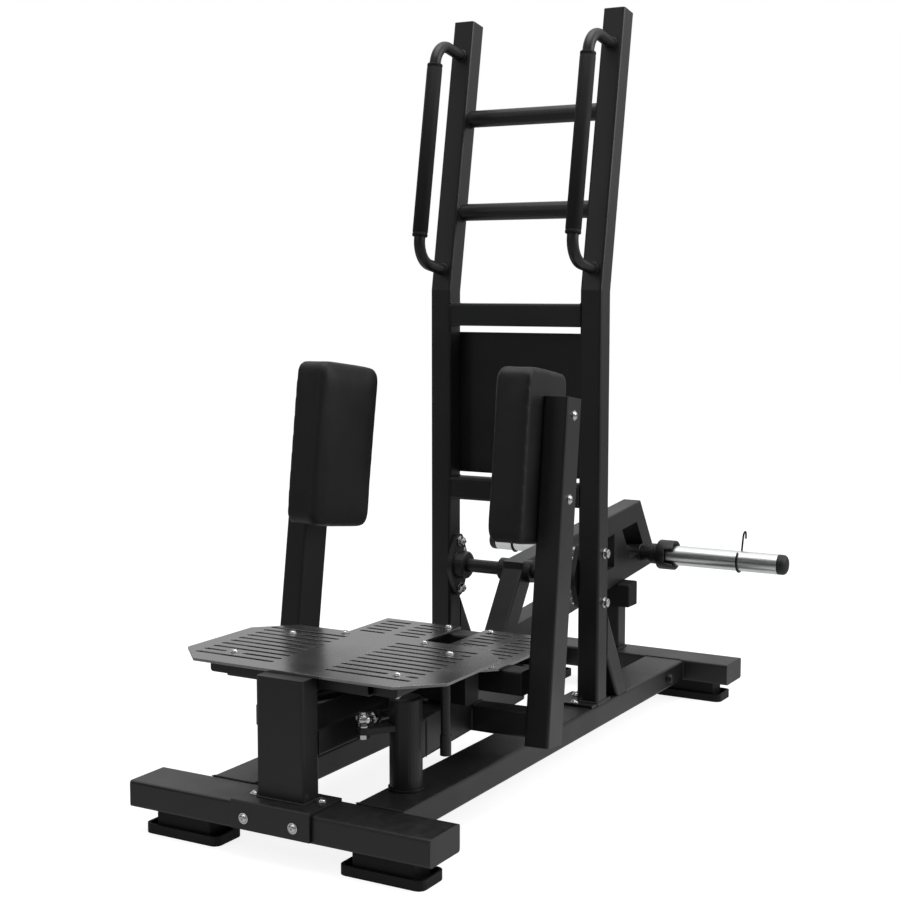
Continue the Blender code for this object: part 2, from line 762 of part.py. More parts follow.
def build_uprights():
    """Uprights with their braces, crossbars, blank panel, rungs and handles."""
    outer, inner = sections(TUBE, TUBE)
    foot_z = BASE_TOP + GAP
    top = (0, LEAN_LENGTH * math.sin(LEAN), KINK_Z - foot_z + LEAN_LENGTH * math.cos(LEAN))
    lower_top = (LEAN_LENGTH - WALL) / LEAN_LENGTH
    kink = (0, 0, KINK_Z - foot_z)
    inner_top = tuple(kink[k] + (top[k] - kink[k]) * lower_top for k in range(3))
    for side, name in SIDES:
        body = swept_solid(((0, 0, 0), kink, top), outer)
        half = UPRIGHT_FOOT_HALF
        plate = box((-half - 23 * MM, -half, 0), (23 * MM, half, BRACKET_PLATE))
        hollow = swept_solid(((0, 0, -WALL), kink, inner_top), inner)
        shape = combined(body, joins=(plate,), cuts=(hollow,))
        at = (UPRIGHT_X, UPRIGHT_Y, foot_z)
        place(f"upright_{name}", shape, "black_coat", at, side=side)

        rear = UPRIGHT_Y + HALF + GAP
        drop = BRACE_TOP_CENTRE - foot_z
        end = (0, drop / math.tan(BRACE_ANGLE), -drop)
        shape = swept_tube(((0, 0, 0), end), outer, inner, (0, 1, 0), (0, 0, 1))
        at = (UPRIGHT_X, rear, BRACE_TOP_CENTRE)
        place(f"brace_{name}", shape, "black_coat", at, side=side)

        path = [(0, y - UPRIGHT_Y, z - KINK_Z) for y, z in handle_path()]
        ring = circle(HANDLE_RADIUS, 12)
        bore = circle(HANDLE_RADIUS - WALL, 12)
        shape = swept_tube(path, ring, bore)
        at = (UPRIGHT_X, UPRIGHT_Y, KINK_Z)
        place(f"handle_{name}", shape, "black_coat", at, side=side)

        ends = [lean_point(along, HANDLE_STANDOFF) for along in (GRIP_LOW, GRIP_HIGH)]
        path = [(0, y - UPRIGHT_Y, z - KINK_Z) for y, z in ends]
        shape = swept_tube(path, circle(GRIP_RADIUS, 16), circle(HANDLE_RADIUS + 2 * GAP, 16))
        place(f"grip_{name}", shape, "rubber", at, side=side)

    half = UPRIGHT_INNER - GAP
    for name, low in (("crossbar_lower", CROSSBAR_LOW), ("crossbar_upper", CROSSBAR_HIGH)):
        at = (0, UPRIGHT_Y, low + HALF)
        place(name, open_cross_tube(half, TUBE, TUBE), "black_coat", at)
    lean_rise = LEAN_LENGTH * math.cos(LEAN)
    for name, share in (("rung_lower", RUNG_LOW_SHARE), ("rung_upper", RUNG_HIGH_SHARE)):
        level = KINK_Z + share * lean_rise
        bore = RUNG_RADIUS - WALL
        profile = [(-half, RUNG_RADIUS), (half, RUNG_RADIUS), (half, bore), (-half, bore)]
        at = (0, UPRIGHT_Y + (level - KINK_Z) * math.tan(LEAN), level)
        place(name, lathe(profile, "x", 24, ring=True), "black_coat", at)
    outline = [
        (-PANEL_HALF_WIDTH, PANEL_BOTTOM),
        (PANEL_HALF_WIDTH, PANEL_BOTTOM),
        (PANEL_HALF_WIDTH, PANEL_TOP),
        (-PANEL_HALF_WIDTH, PANEL_TOP),
    ]
    shape = prism(outline, "y", 0, PANEL_THICKNESS)
    place("back_panel", shape, "black_coat", (0, UPRIGHT_Y + HALF + GAP, 0))


def bearing():
    """A two-bolt oval flange with a round boss, its shaft along x, boss towards -x."""
    outline = []
    reach = BEARING_CENTRE_RADIUS - BEARING_END_RADIUS
    tangent = math.asin(reach / BEARING_PITCH)
    for centre, radius, middle, spread in (
        (0, BEARING_CENTRE_RADIUS, 0, tangent),
        (BEARING_PITCH, BEARING_END_RADIUS, 90, math.pi / 2 - tangent),
        (0, BEARING_CENTRE_RADIUS, 180, tangent),
        (-BEARING_PITCH, BEARING_END_RADIUS, 270, math.pi / 2 - tangent),
    ):
        for step in range(7):
            angle = math.radians(middle) + spread * (step / 3 - 1)
            outline.append((radius * math.cos(angle), centre + radius * math.sin(angle)))
    flange = prism(outline, "x", -BEARING_FLANGE, 0)
    boss_profile = [
        (-BEARING_DEPTH, 0),
        (-BEARING_DEPTH, BEARING_BOSS - 3 * MM),
        (3 * MM - BEARING_DEPTH, BEARING_BOSS),
        (-BEARING_FLANGE, BEARING_BOSS + 2 * MM),
        (-BEARING_FLANGE / 2, BEARING_BOSS + 2 * MM),
        (-BEARING_FLANGE / 2, 0),
    ]
    bore = prism(circle(SHAFT_RADIUS + RUNNING_CLEARANCE, 32), "x", -TUBE, TUBE)
    holes = [
        prism(moved(circle(BEARING_BOLT_RADIUS, 12), 0, pitch), "x", -TUBE, TUBE)
        for pitch in (-BEARING_PITCH, BEARING_PITCH)
    ]
    return combined(flange, joins=(lathe(boss_profile, "x", 24),), cuts=(bore, *holes))


def lever_lines():
    """The edge lines of the lever's tubes in the (y, z) plane, each as (point, direction)."""
    along = (math.cos(LEVER_SLOPE), math.sin(LEVER_SLOPE))
    shaft = (0.0, 0.0)
    pin = (PIN_Y - SHAFT_Y, PIN_Z - SHAFT_Z)
    back_top = (REAR_EDGE_TOP[0] - SHAFT_Y, REAR_EDGE_TOP[1] - SHAFT_Z)
    back_low = (REAR_EDGE_LOW[0] - SHAFT_Y, REAR_EDGE_LOW[1] - SHAFT_Z)
    upper = (shaft, along)
    leg = (shaft, unit(shaft, pin))
    back = (back_top, unit(back_top, back_low))
    return {
        "upper_top": beside(upper, HALF),
        "upper_bottom": beside(upper, -HALF),
        "lower_top": beside(upper, HALF - LOWER_TUBE_DROP),
        "lower_bottom": beside(upper, -HALF - LOWER_TUBE_DROP),
        "leg_front": beside(leg, -HALF),
        "leg_back": beside(leg, HALF),
        "back": back,
        "rear_front": beside(back, -TUBE),
        "nose": ((-HALF * along[0], -HALF * along[1]), (-along[1], along[0])),
        "strut_front": ((STRUT_FRONT - SHAFT_Y, 0.0), (0.0, 1.0)),
    }


def lever_outlines():
    """The lever's outer outline and its two windows, drawn about the shaft."""
    lines = lever_lines()
    pin = (PIN_Y - SHAFT_Y, PIN_Z - SHAFT_Z)
    leg = lines["leg_front"][1]
    start = math.atan2(leg[0], -leg[1])
    round_end = []
    for step in range(9):
        angle = start + math.pi + math.pi * step / 8
        round_end.append((pin[0] + HALF * math.cos(angle), pin[1] + HALF * math.sin(angle)))
    low_edge = lines["lower_bottom"]
    corner_reach = (LEVER_CORNER - SHAFT_Y - low_edge[0][0]) / low_edge[1][0]
    corner = (LEVER_CORNER - SHAFT_Y, low_edge[0][1] + corner_reach * low_edge[1][1])
    back_edge = lines["back"]
    rear_reach = (LEVER_REAR - SHAFT_Y - back_edge[0][0]) / back_edge[1][0]
    rear = (LEVER_REAR - SHAFT_Y, back_edge[0][1] + rear_reach * back_edge[1][1])
    outer = [meeting(lines["nose"], lines["upper_top"]), meeting(lines["nose"], lines["leg_front"])]
    outer += round_end
    outer += [meeting(lines["leg_back"], low_edge), corner, rear]
    outer += [meeting(back_edge, lines["upper_top"])]
    strut_top = meeting(lines["upper_bottom"], ((STRUT_REAR - SHAFT_Y, 0.0), (0.0, 1.0)))
    strut_back = (strut_top, back_edge[1])
    windows = []
    for front, rear_side in (
        (lines["leg_back"], lines["strut_front"]),
        (strut_back, lines["rear_front"]),
    ):
        windows.append([
            meeting(front, lines["upper_bottom"]),
            meeting(front, lines["lower_top"]),
            meeting(lines["lower_top"], rear_side),
            meeting(rear_side, lines["upper_bottom"]),
        ])
    return outer, windows


def lever_frame():
    """The lever's welded tubes, hollow, with bushes for the shaft and the link pin."""
    outer, windows = lever_outlines()
    pin = (PIN_Y - SHAFT_Y, PIN_Z - SHAFT_Z)
    horn = (HORN_Y - SHAFT_Y, HORN_Z - SHAFT_Z)
    inside = HALF - WALL
    hollow = prism(offset_outline(outer, WALL), "x", -inside, inside)
    walls = [prism(offset_outline(window, -WALL), "x", -TUBE, TUBE) for window in windows]
    shaft_bush = prism(circle(SHAFT_BUSH_RADIUS, 24), "x", -TUBE, TUBE)
    pin_bush = prism(moved(circle(PIN_BUSH_RADIUS, 20), *pin), "x", -TUBE, TUBE)
    horn_outline = moved(circle(HORN_NECK_RADIUS, 24), *horn)
    horn_seat = prism(horn_outline, "x", -TUBE, TUBE)
    hollow = combined(hollow, cuts=(*walls, shaft_bush, pin_bush, horn_seat))
    horn_bar = prism(horn_outline, "x", -HALF, HALF)
    hub = prism(circle(LEVER_HUB_RADIUS, 24), "x", -LEVER_HUB_HALF, LEVER_HUB_HALF)
    body = prism(outer, "x", -HALF, HALF)
    bmesh.ops.bevel(
        body,
        geom=[edge for edge in body.edges if abs(edge.verts[0].co.x - edge.verts[1].co.x) < MM],
        offset=3.5 * MM,
        segments=2,
        profile=0.5,
        affect="EDGES",
    )
    openings = [prism(window, "x", -TUBE, TUBE) for window in windows]
    shaft_bore = prism(circle(SHAFT_RADIUS + GAP, 32), "x", -2 * TUBE, 2 * TUBE)
    pin_bore = prism(moved(circle(PIN_RADIUS + GAP, 20), *pin), "x", -2 * TUBE, 2 * TUBE)
    drain = prism(moved(circle(DRAIN_RADIUS, 12), 0, 0.45), "z", -0.18, -0.09)
    return combined(
        body,
        joins=(hub,),
        cuts=(*openings, hollow, shaft_bore, pin_bore, drain),
        last_joins=(horn_bar,),
    )


def horn():
    """The right horn from its neck outwards: neck, notched cup, core bar and domed cap."""
    start = HALF + GAP
    cup_floor = CUP_INNER_X + CUP_FLOOR
    lip_end = CUP_INNER_X + CUP_DEPTH + CUP_LIP
    cap_start = SLEEVE_END + GAP
    cap_end = SLEEVE_END + CAP_DEPTH
    profile = [
        (start, 0),
        (start, HORN_NECK_RADIUS),
        (COLLAR_INNER_X, HORN_NECK_RADIUS),
        (COLLAR_INNER_X, COLLAR_RADIUS - MM),
        (COLLAR_INNER_X + MM, COLLAR_RADIUS),
        (CUP_INNER_X, COLLAR_RADIUS),
        (CUP_INNER_X, CUP_RADIUS - 3 * MM),
        (CUP_INNER_X + 3 * MM, CUP_RADIUS),
        (lip_end, CUP_RADIUS),
        (lip_end, CUP_RADIUS - CUP_WALL),
        (cup_floor, CUP_RADIUS - CUP_WALL),
        (cup_floor, CORE_RADIUS),
        (cap_start, CORE_RADIUS),
        (cap_start, SLEEVE_RADIUS - MM),
        (cap_start + MM, SLEEVE_RADIUS),
        (cap_start + 0.45 * CAP_DEPTH, SLEEVE_RADIUS),
        (cap_start + 0.75 * CAP_DEPTH, 0.80 * SLEEVE_RADIUS),
        (cap_start + 0.92 * CAP_DEPTH, 0.45 * SLEEVE_RADIUS),
        (cap_end, 0),
    ]
    body = lathe(profile, "x", 24)
    notch_start = CUP_INNER_X + CUP_DEPTH
    near, far = SLEEVE_RADIUS + 2 * MM, 2 * CUP_RADIUS
    half = CUP_NOTCH / 2
    notches = [
        turned(box((notch_start, near, -half), (notch_start + far, far, half)), angle, "x")
        for angle in (0, math.pi)
    ]
    return combined(body, cuts=notches)


def clip_ring():
    """A sprung wire clip: an open ring round the sleeve with a hooked tail above it."""
    radius = SLEEVE_RADIUS + GAP + CLIP_WIRE
    path = []
    for step in range(19):
        angle = math.radians(90) + CLIP_OPENING / 2 + (math.tau - CLIP_OPENING) * step / 18
        path.append((0, radius * math.cos(angle), radius * math.sin(angle)))
    end_y, end_z = path[-1][1], path[-1][2]
    tail = ((6, 8), (4, 30), (0, 44), (-6, 48), (-12, 46), (-15, 38), (-15, 28))
    for dy, dz in tail:
        path.append((0, end_y + dy * MM - 6 * MM, end_z + dz * MM))
    return swept_solid(path, circle(CLIP_WIRE, 6))


def build_lever():
    """Shaft, bearings, lever, link pin, horns, sleeves and clips."""
    for side, name in SIDES:
        at = (UPRIGHT_INNER - GAP, SHAFT_Y, SHAFT_Z)
        place(f"bearing_{name}", bearing(), "black_cast", at, side=side)
    half = UPRIGHT_INNER - 2 * MM
    profile = [(-half, 0), (-half, SHAFT_RADIUS), (half, SHAFT_RADIUS), (half, 0)]
    place("lever_shaft", lathe(profile, "x"), "black_coat", (0, SHAFT_Y, SHAFT_Z))
    place("lever_frame", lever_frame(), "black_coat", (0, SHAFT_Y, SHAFT_Z))

    profile = [(0, PIN_RADIUS)]
    profile += [(HALF + GAP, PIN_RADIUS), (HALF + GAP, PIN_COLLAR_RADIUS)]
    profile += [(PIN_COLLAR_END, PIN_COLLAR_RADIUS), (PIN_COLLAR_END, PIN_RADIUS)]
    profile += [(PIN_NUT_START, PIN_RADIUS), (PIN_NUT_START, PIN_COLLAR_RADIUS)]
    profile += [(PIN_END, PIN_COLLAR_RADIUS), (PIN_END, 0)]
    mirrored = [(-height, radius) for height, radius in profile[:0:-1]]
    shape = lathe(mirrored + profile[1:], "x", 16)
    place("link_pin", shape, "machined_steel", (0, PIN_Y, PIN_Z))

    for side, name in SIDES:
        at = (0, HORN_Y, HORN_Z)
        place(f"horn_{name}", horn(), "black_cast", at, side=side)
        start = CUP_INNER_X + CUP_FLOOR + GAP
        profile = [
            (start, SLEEVE_RADIUS),
            (SLEEVE_END, SLEEVE_RADIUS),
            (SLEEVE_END, SLEEVE_BORE),
            (start, SLEEVE_BORE),
        ]
        shape = lathe(profile, "x", 32, ring=True)
        place(f"horn_sleeve_{name}", shape, "chrome", at, side=side)
        clip_x = CLIP_RIGHT_X if side > 0 else CLIP_LEFT_X
        at = (clip_x, HORN_Y, HORN_Z)
        place(f"clip_{name}", clip_ring(), "spring_wire", at, side=side)


def build_lever_stop():
    """The post on the rear cross tube and the rubber block that the lever rests on."""
    height = REAR_POST_TOP - GAP - BASE_TOP - GAP
    at = (0, REAR_POST_FRONT + HALF, BASE_TOP + GAP)
    place("rear_post", standing_tube(TUBE, TUBE, height), "black_coat", at)
    edge = lever_lines()["lower_bottom"]
    outline = [(STOP_FRONT, REAR_POST_TOP), (STOP_REAR, REAR_POST_TOP)]
    for y in (STOP_REAR, STOP_FRONT):
        reach = (y - SHAFT_Y - edge[0][0]) / edge[1][0]
        outline.append((y, SHAFT_Z + edge[0][1] + reach * edge[1][1] - GAP))
    shape = prism(outline, "x", -STOP_HALF_WIDTH, STOP_HALF_WIDTH)
    bmesh.ops.bevel(
        shape, geom=shape.edges[:], offset=4 * MM, segments=2, profile=0.5, affect="EDGES"
    )
    place("lever_stop", shape, "rubber", (0, 0, 0))


def arm():
    """The right arm about its pivot: hub, link, outrigger, leaning leg and lug in one weldment."""
    hub_profile = [
        (PIVOT_BASE, 0),
        (PIVOT_BASE, HUB_RADIUS),
        (HUB_TOP, HUB_RADIUS),
        (HUB_TOP + 2 * MM, HUB_RADIUS - MM),
        (HUB_CAP_TOP, HUB_RADIUS - 8 * MM),
        (HUB_CAP_TOP, 0),
    ]
    hub = lathe(hub_profile, "z")
    bore = prism(circle(PIVOT_RADIUS + RUNNING_CLEARANCE, 32), "z", 0, PIVOT_TOP + MM)

    link_height = LINK_TOP - LINK_BOTTOM
    link_z = (LINK_TOP + LINK_BOTTOM) / 2
    outer, inner = sections(TUBE, link_height)
    link = swept_solid(((0, 0, link_z), (0, LINK_REACH, link_z)), outer)
    link_start = HUB_RADIUS + WALL
    link_hollow = swept_solid(((0, link_start, link_z), (0, LINK_REACH - WALL, link_z)), inner)

    outer, inner = sections(TUBE, TUBE)
    level = (LINK_BOTTOM + OUTRIGGER_TOP) / 2
    outrigger = prism(moved(outer, LEG_Y, level), "x", 0, LEG_X)
    outrigger_hollow = prism(moved(inner, LEG_Y, level), "x", HALF - 2 * WALL, LEG_X)

    outer, inner = sections(TUBE, LEG_DEPTH)
    top_y = LEG_LENGTH * math.sin(LEG_LEAN)
    top_z = LEG_LENGTH * math.cos(LEG_LEAN)
    start = Vector((LEG_X, LEG_Y, LEG_BOTTOM))
    end = start + Vector((0, top_y, top_z))
    inset = (end - start).normalized() * WALL
    leg = swept_solid((start, end), outer)
    leg_hollow = swept_solid((start + inset, end - inset), inner)

    ball_x, ball_y = arm_point(BALL_X, BALL_Y)
    reach = math.hypot(ball_x, ball_y)
    outline = [(0, -LUG_WIDTH / 2)]
    for step in range(9):
        angle = math.radians(-90 + 22.5 * step)
        a = reach + LUG_WIDTH / 2 * math.cos(angle)
        outline.append((a, LUG_WIDTH / 2 * math.sin(angle)))
    outline.append((0, LUG_WIDTH / 2))
    lug = turned(prism(outline, "z", LUG_BOTTOM, LUG_TOP), math.atan2(ball_y, ball_x), "z")
    hole = prism(moved(circle(STUD_RADIUS + GAP, 16), ball_x, ball_y), "z", 0, LINK_TOP)
    drain = prism(moved(circle(DRAIN_RADIUS, 12), 0, LEG_Y + TUBE), "z", 0, link_z)
    return combined(
        hub,
        joins=(link, outrigger, leg, lug),
        cuts=(bore, link_hollow, outrigger_hollow, leg_hollow, hole, drain),
    )


def arm_point(x, y):
    """A point on the right side of the machine, seen from the arm's own axes."""
    dx, dy = x - PIVOT_X, y - PIVOT_Y
    cosine, sine = math.cos(ARM_REST_TURN), math.sin(ARM_REST_TURN)
    return dx * cosine + dy * sine, dy * cosine - dx * sine


def pad():
    """A cushion: flat back, drawn-in sides, rounded corners and edges, crowned face.

    It is drawn with its back on x = 0 and its face towards -x, its width along y and its
    length along z from 0.
    """
    width, length = PAD_WIDTH, PAD_LENGTH
    levels = [
        (0.0, 5.0 * MM),
        (1.5 * MM, 2.0 * MM),
        (6.0 * MM, PAD_DRAW * 0.6),
        (0.35 * PAD_THICKNESS, PAD_DRAW),
        (PAD_THICKNESS - PAD_CROWN - PAD_EDGE - 8 * MM, PAD_DRAW * 0.4),
    ]
    for step in range(5):
        angle = math.radians(22.5 * step)
        rise = PAD_THICKNESS - PAD_CROWN - PAD_EDGE * (1 - math.sin(angle))
        levels.append((rise, PAD_EDGE * (1 - math.cos(angle))))
    for inset in (28 * MM, 46 * MM, 66 * MM, 82 * MM):
        share = (inset - PAD_EDGE) / (width / 2 - PAD_EDGE)
        rise = PAD_THICKNESS - PAD_CROWN * (1 - math.sin(share * math.pi / 2))
        levels.append((rise, inset))
    shape = bmesh.new()
    rings = []
    for rise, inset in levels:
        corner = max(PAD_CORNER - inset * 0.6, 3 * MM)
        outline = rounded_rectangle(width - 2 * inset, length - 2 * inset, corner, 4)
        rings.append([Vector((-rise, a, b + length / 2)) for a, b in outline])
    made = add_rings(shape, rings)
    shape.faces.new(made[0])
    shape.faces.new(made[-1])
    return outward(shape)


def stud():
    """The ball and its bolt: nut under the lug, collar on it, ball, and a small nut on top."""
    profile = [
        (LUG_BOTTOM - GAP - NUT_HEIGHT - 4 * MM, 0),
        (LUG_BOTTOM - GAP - NUT_HEIGHT - 4 * MM, STUD_RADIUS),
        (LUG_TOP + GAP, STUD_RADIUS),
        (LUG_TOP + GAP, STUD_RADIUS + 3 * MM),
        (BALL_Z - BALL_RADIUS, STUD_RADIUS),
    ]
    for step in range(10):
        angle = math.radians(-54 + 12 * step)
        profile.append((BALL_Z + BALL_RADIUS * math.sin(angle), BALL_RADIUS * math.cos(angle)))
    profile += [
        (BALL_Z + BALL_RADIUS + 8 * MM, STUD_RADIUS),
        (BALL_Z + BALL_RADIUS + 8 * MM, 0),
    ]
    profile = [(height - BALL_Z, radius) for height, radius in profile]
    body = lathe(profile, "z", 16)
    nut_top = LUG_BOTTOM - GAP - BALL_Z
    nut = prism(hexagon(NUT_RADIUS), "z", nut_top - NUT_HEIGHT, nut_top)
    cap = BALL_RADIUS + MM
    top_nut = prism(hexagon(NUT_RADIUS - MM), "z", cap, cap + 6 * MM)
    return combined(body, joins=(nut, top_nut))


def push_rod(length):
    """A push rod along y with a flat-lying eye at 0 and an upright eye at its length."""
    front_neck = FRONT_EYE_RADIUS - 3 * MM
    rear_neck = length - REAR_EYE_RADIUS + 3 * MM
    profile = [
        (front_neck, 0),
        (front_neck, ROD_NECK_RADIUS),
        (ROD_NECK_END, ROD_NECK_RADIUS),
        (ROD_NECK_END + 2 * MM, ROD_RADIUS),
        (length - ROD_NECK_END - 2 * MM, ROD_RADIUS),
        (length - ROD_NECK_END, ROD_NECK_RADIUS),
        (rear_neck, ROD_NECK_RADIUS),
        (rear_neck, 0),
    ]
    shank = lathe(profile, "y", 16)
    eyes = []
    for radius, axis in ((FRONT_EYE_RADIUS, "z"), (REAR_EYE_RADIUS, "x")):
        rim = [
            (-EYE_HALF, 0),
            (-EYE_HALF, radius - 2 * MM),
            (2 * MM - EYE_HALF, radius),
            (EYE_HALF - 2 * MM, radius),
            (EYE_HALF, radius - 2 * MM),
            (EYE_HALF, 0),
        ]
        eyes.append(lathe(rim, axis, 20))
    eyes[1] = shifted(eyes[1], (0, length, 0))
    nuts = [
        prism(hexagon(NUT_RADIUS + MM), "y", start, start + LOCK_NUT)
        for start in (ROD_NECK_END - LOCK_NUT / 2, length - ROD_NECK_END - LOCK_NUT / 2)
    ]
    socket = ball(BALL_RADIUS + BALL_CLEARANCE, 12, 20)
    hole = prism(circle(PIN_RADIUS + OPEN_EYE_CLEARANCE, 20), "x", -TUBE, TUBE)
    hole = shifted(hole, (0, length, 0))
    return combined(shank, joins=(*eyes, *nuts), cuts=(socket, hole))


def build_arms():
    """Pivot pins, arms with their pads, ball studs, push rods and swing stops."""
    start = Vector((BALL_X, BALL_Y, BALL_Z))
    end = Vector((EYE_X, PIN_Y, PIN_Z))
    reach = end - start
    yaw = math.atan2(-reach.x, reach.y)
    pitch = math.atan2(reach.z, math.hypot(reach.x, reach.y))
    rail_bottom = PLATFORM_BOTTOM - GAP - LOW_TUBE
    for side, name in SIDES:
        flange = BASE_TOP + GAP
        profile = [
            (flange, 0),
            (flange, PIVOT_FLANGE_RADIUS),
            (flange + PIVOT_FLANGE, PIVOT_FLANGE_RADIUS),
            (flange + PIVOT_FLANGE, PIVOT_RADIUS),
            (PIVOT_TOP - 2 * MM, PIVOT_RADIUS),
            (PIVOT_TOP, PIVOT_RADIUS - 2 * MM),
            (PIVOT_TOP, 0),
        ]
        at = (PIVOT_X, PIVOT_Y, 0)
        place(f"pivot_pin_{name}", lathe(profile, "z"), "black_coat", at, side=side)
        turn = (0, 0, ARM_REST_TURN)
        holder = place(f"arm_{name}", arm(), "black_coat", at, turn, side)

        back = -PAD_FORWARD
        foot_y = back * math.cos(LEG_LEAN) + PAD_START * math.sin(LEG_LEAN)
        foot_z = -back * math.sin(LEG_LEAN) + PAD_START * math.cos(LEG_LEAN)
        at = (LEG_X - HALF - GAP, LEG_Y + foot_y, LEG_BOTTOM + foot_z)
        place(f"pad_{name}", pad(), "pad_cover", at, (-LEG_LEAN, 0, 0), side, holder)

        at = (BALL_X, BALL_Y, BALL_Z)
        place(f"ball_stud_{name}", stud(), "machined_steel", at, side=side)
        shape = push_rod(reach.length)
        place(f"push_rod_{name}", shape, "machined_steel", at, (pitch, 0, yaw), side)

        profile = [
            (STOP_ROD_BOTTOM, 0),
            (STOP_ROD_BOTTOM, STOP_SLEEVE_RADIUS),
            (STOP_SLEEVE_TOP, STOP_SLEEVE_RADIUS),
            (STOP_SLEEVE_TOP, STOP_ROD_RADIUS),
            (rail_bottom - GAP - PLATE, STOP_ROD_RADIUS),
            (rail_bottom - GAP - PLATE, 2 * STOP_ROD_RADIUS),
            (rail_bottom - GAP, 2 * STOP_ROD_RADIUS),
            (rail_bottom - GAP, 0),
        ]
        at = (STOP_ROD_X, STOP_ROD_Y, 0)
        place(f"stop_rod_{name}", lathe(profile, "z", 16), "black_coat", at, side=side)


clear_scene()
MATERIALS = make_materials()
build_base()
build_platform_supports()
build_platform()
build_uprights()
build_lever()
build_lever_stop()
build_arms()
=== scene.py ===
# %% [markdown]
# # A standing hip abductor machine
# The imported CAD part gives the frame: every tube, plate and rod in metres, with the floor at
# z = 0, the user facing -Y, and the plate horns at +Y. This lesson dresses it. Each cell adds
# one group of pieces or one finish, and prints what it made.

import json
import math

import bmesh
import bpy
import numpy as np
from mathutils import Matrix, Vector


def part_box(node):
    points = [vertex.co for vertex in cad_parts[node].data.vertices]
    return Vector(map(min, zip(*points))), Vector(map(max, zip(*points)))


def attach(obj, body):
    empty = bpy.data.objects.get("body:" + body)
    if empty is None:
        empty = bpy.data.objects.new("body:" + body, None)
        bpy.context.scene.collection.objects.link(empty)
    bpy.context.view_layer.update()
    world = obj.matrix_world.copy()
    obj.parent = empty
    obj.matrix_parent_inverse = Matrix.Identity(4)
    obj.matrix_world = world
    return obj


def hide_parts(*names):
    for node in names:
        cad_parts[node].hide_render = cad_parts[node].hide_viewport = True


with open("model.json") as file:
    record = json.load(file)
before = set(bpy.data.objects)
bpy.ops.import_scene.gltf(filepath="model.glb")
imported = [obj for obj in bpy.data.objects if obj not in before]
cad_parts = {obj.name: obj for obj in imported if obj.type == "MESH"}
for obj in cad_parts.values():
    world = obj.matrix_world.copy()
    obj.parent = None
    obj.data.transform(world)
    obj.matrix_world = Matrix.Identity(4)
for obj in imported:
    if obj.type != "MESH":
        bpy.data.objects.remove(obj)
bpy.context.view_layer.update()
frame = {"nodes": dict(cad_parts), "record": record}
nodes = frame["nodes"]

# %% [markdown]
# ## Camera
# The photograph looks at the front left corner of the user's stand, a little above hip height.
# A long lens keeps the uprights nearly parallel. The place and the lens come from the vanishing
# points of the long tubes.

# %% Camera
MM = 0.001
CAMERA_PLACE = (1.615, -3.005, 1.003)
CAMERA_AZIMUTH = math.radians(29.93)
CAMERA_DOWN = math.radians(5.81)
CAMERA_LENS = 63.35
CAMERA_SENSOR = 36


def linked(name, data):
    """A new object that shows the data, linked into the scene."""
    made = bpy.data.objects.new(name, data)
    bpy.context.scene.collection.objects.link(made)
    return made


camera_data = bpy.data.cameras.new("camera")
camera_data.lens = CAMERA_LENS
camera_data.sensor_width = CAMERA_SENSOR
camera = linked("camera", camera_data)
camera.location = CAMERA_PLACE
camera.rotation_euler = (math.pi / 2 - CAMERA_DOWN, 0, CAMERA_AZIMUTH)
bpy.context.scene.camera = camera
print("camera at", CAMERA_PLACE, "lens", CAMERA_LENS)

# %% [markdown]
# ## Node helpers
# The light, the floor and every finish are graphs of nodes. One helper fills a node's sockets,
# one adds a node, and the others name the workings that come back in all of them, so that a
# graph reads like a few lines of sums.


# %% Node helpers
FINISHES = {}


def fill(node, sockets):
    """Fills a node's sockets: a plain value is set, and another node's socket is linked."""
    for socket, value in sockets.items():
        if isinstance(value, bpy.types.NodeSocket):
            node.id_data.links.new(value, node.inputs[socket])
        else:
            node.inputs[socket].default_value = value


def add_node(tree, kind, sockets=None, **settings):
    """Adds a node, sets its options and fills its sockets."""
    made = tree.nodes.new(kind)
    for option, value in settings.items():
        setattr(made, option, value)
    fill(made, sockets or {})
    return made


def between(tree, value, low, high, new_low=0.0, new_high=1.0, **settings):
    """The value's place between low and high, as a number from new_low to new_high."""
    sockets = {"Value": value, "From Min": low, "From Max": high}
    sockets.update({"To Min": new_low, "To Max": new_high})
    made = add_node(tree, "ShaderNodeMapRange", sockets, clamp=True, **settings)
    return made.outputs["Result"]


def own_metres(tree):
    """The place on the object, in its own metres."""
    return add_node(tree, "ShaderNodeTexCoord").outputs["Object"]


def worked(tree, operation, first, second):
    """A sum, product or other plain working of two values."""
    made = add_node(tree, "ShaderNodeMath", {0: first, 1: second}, operation=operation)
    return made.outputs[0]


def either(tree, share, first, second):
    """The first value where the share is 0 and the second where it is 1."""
    sockets = {0: share, 2: first, 3: second}
    return add_node(tree, "ShaderNodeMix", sockets, data_type="FLOAT").outputs[0]


def new_finish(name, metallic=0.0, specular=0.5):
    """A material kept under its name, with plain values set on its shader. Gives back its node
    tree and that shader."""
    finish = FINISHES[name] = bpy.data.materials.new(name)
    finish.use_nodes = True
    shader = finish.node_tree.nodes["Principled BSDF"]
    fill(shader, {"Metallic": metallic, "Specular IOR Level": specular})
    return finish.node_tree, shader


print("node helpers ready")

# %% [markdown]
# ## Light
# Satin black steel shows its form only by what it mirrors. The stand is seen against a white
# sweep, so faces turned towards the back and the right mirror it and read mid grey, while faces
# that look at the camera mirror a dark room and stay nearly black. So the camera sees plain
# white, glossy rays see a glow behind the machine fading to dark in front of it, and everything
# else gets an even grey. Above the horizon, where the plates one stands on mirror it at a low
# angle, the glow is nearly twice as strong, and overhead a soft light is added for rounded tops.

# %% World
WORLD_EVEN = 0.36
WORLD_FRONT = 0.045
WORLD_BACK = 0.34
WORLD_RISEN = 1.8
WORLD_ABOVE = 0.70
SMOOTH = {"interpolation_type": "SMOOTHSTEP"}

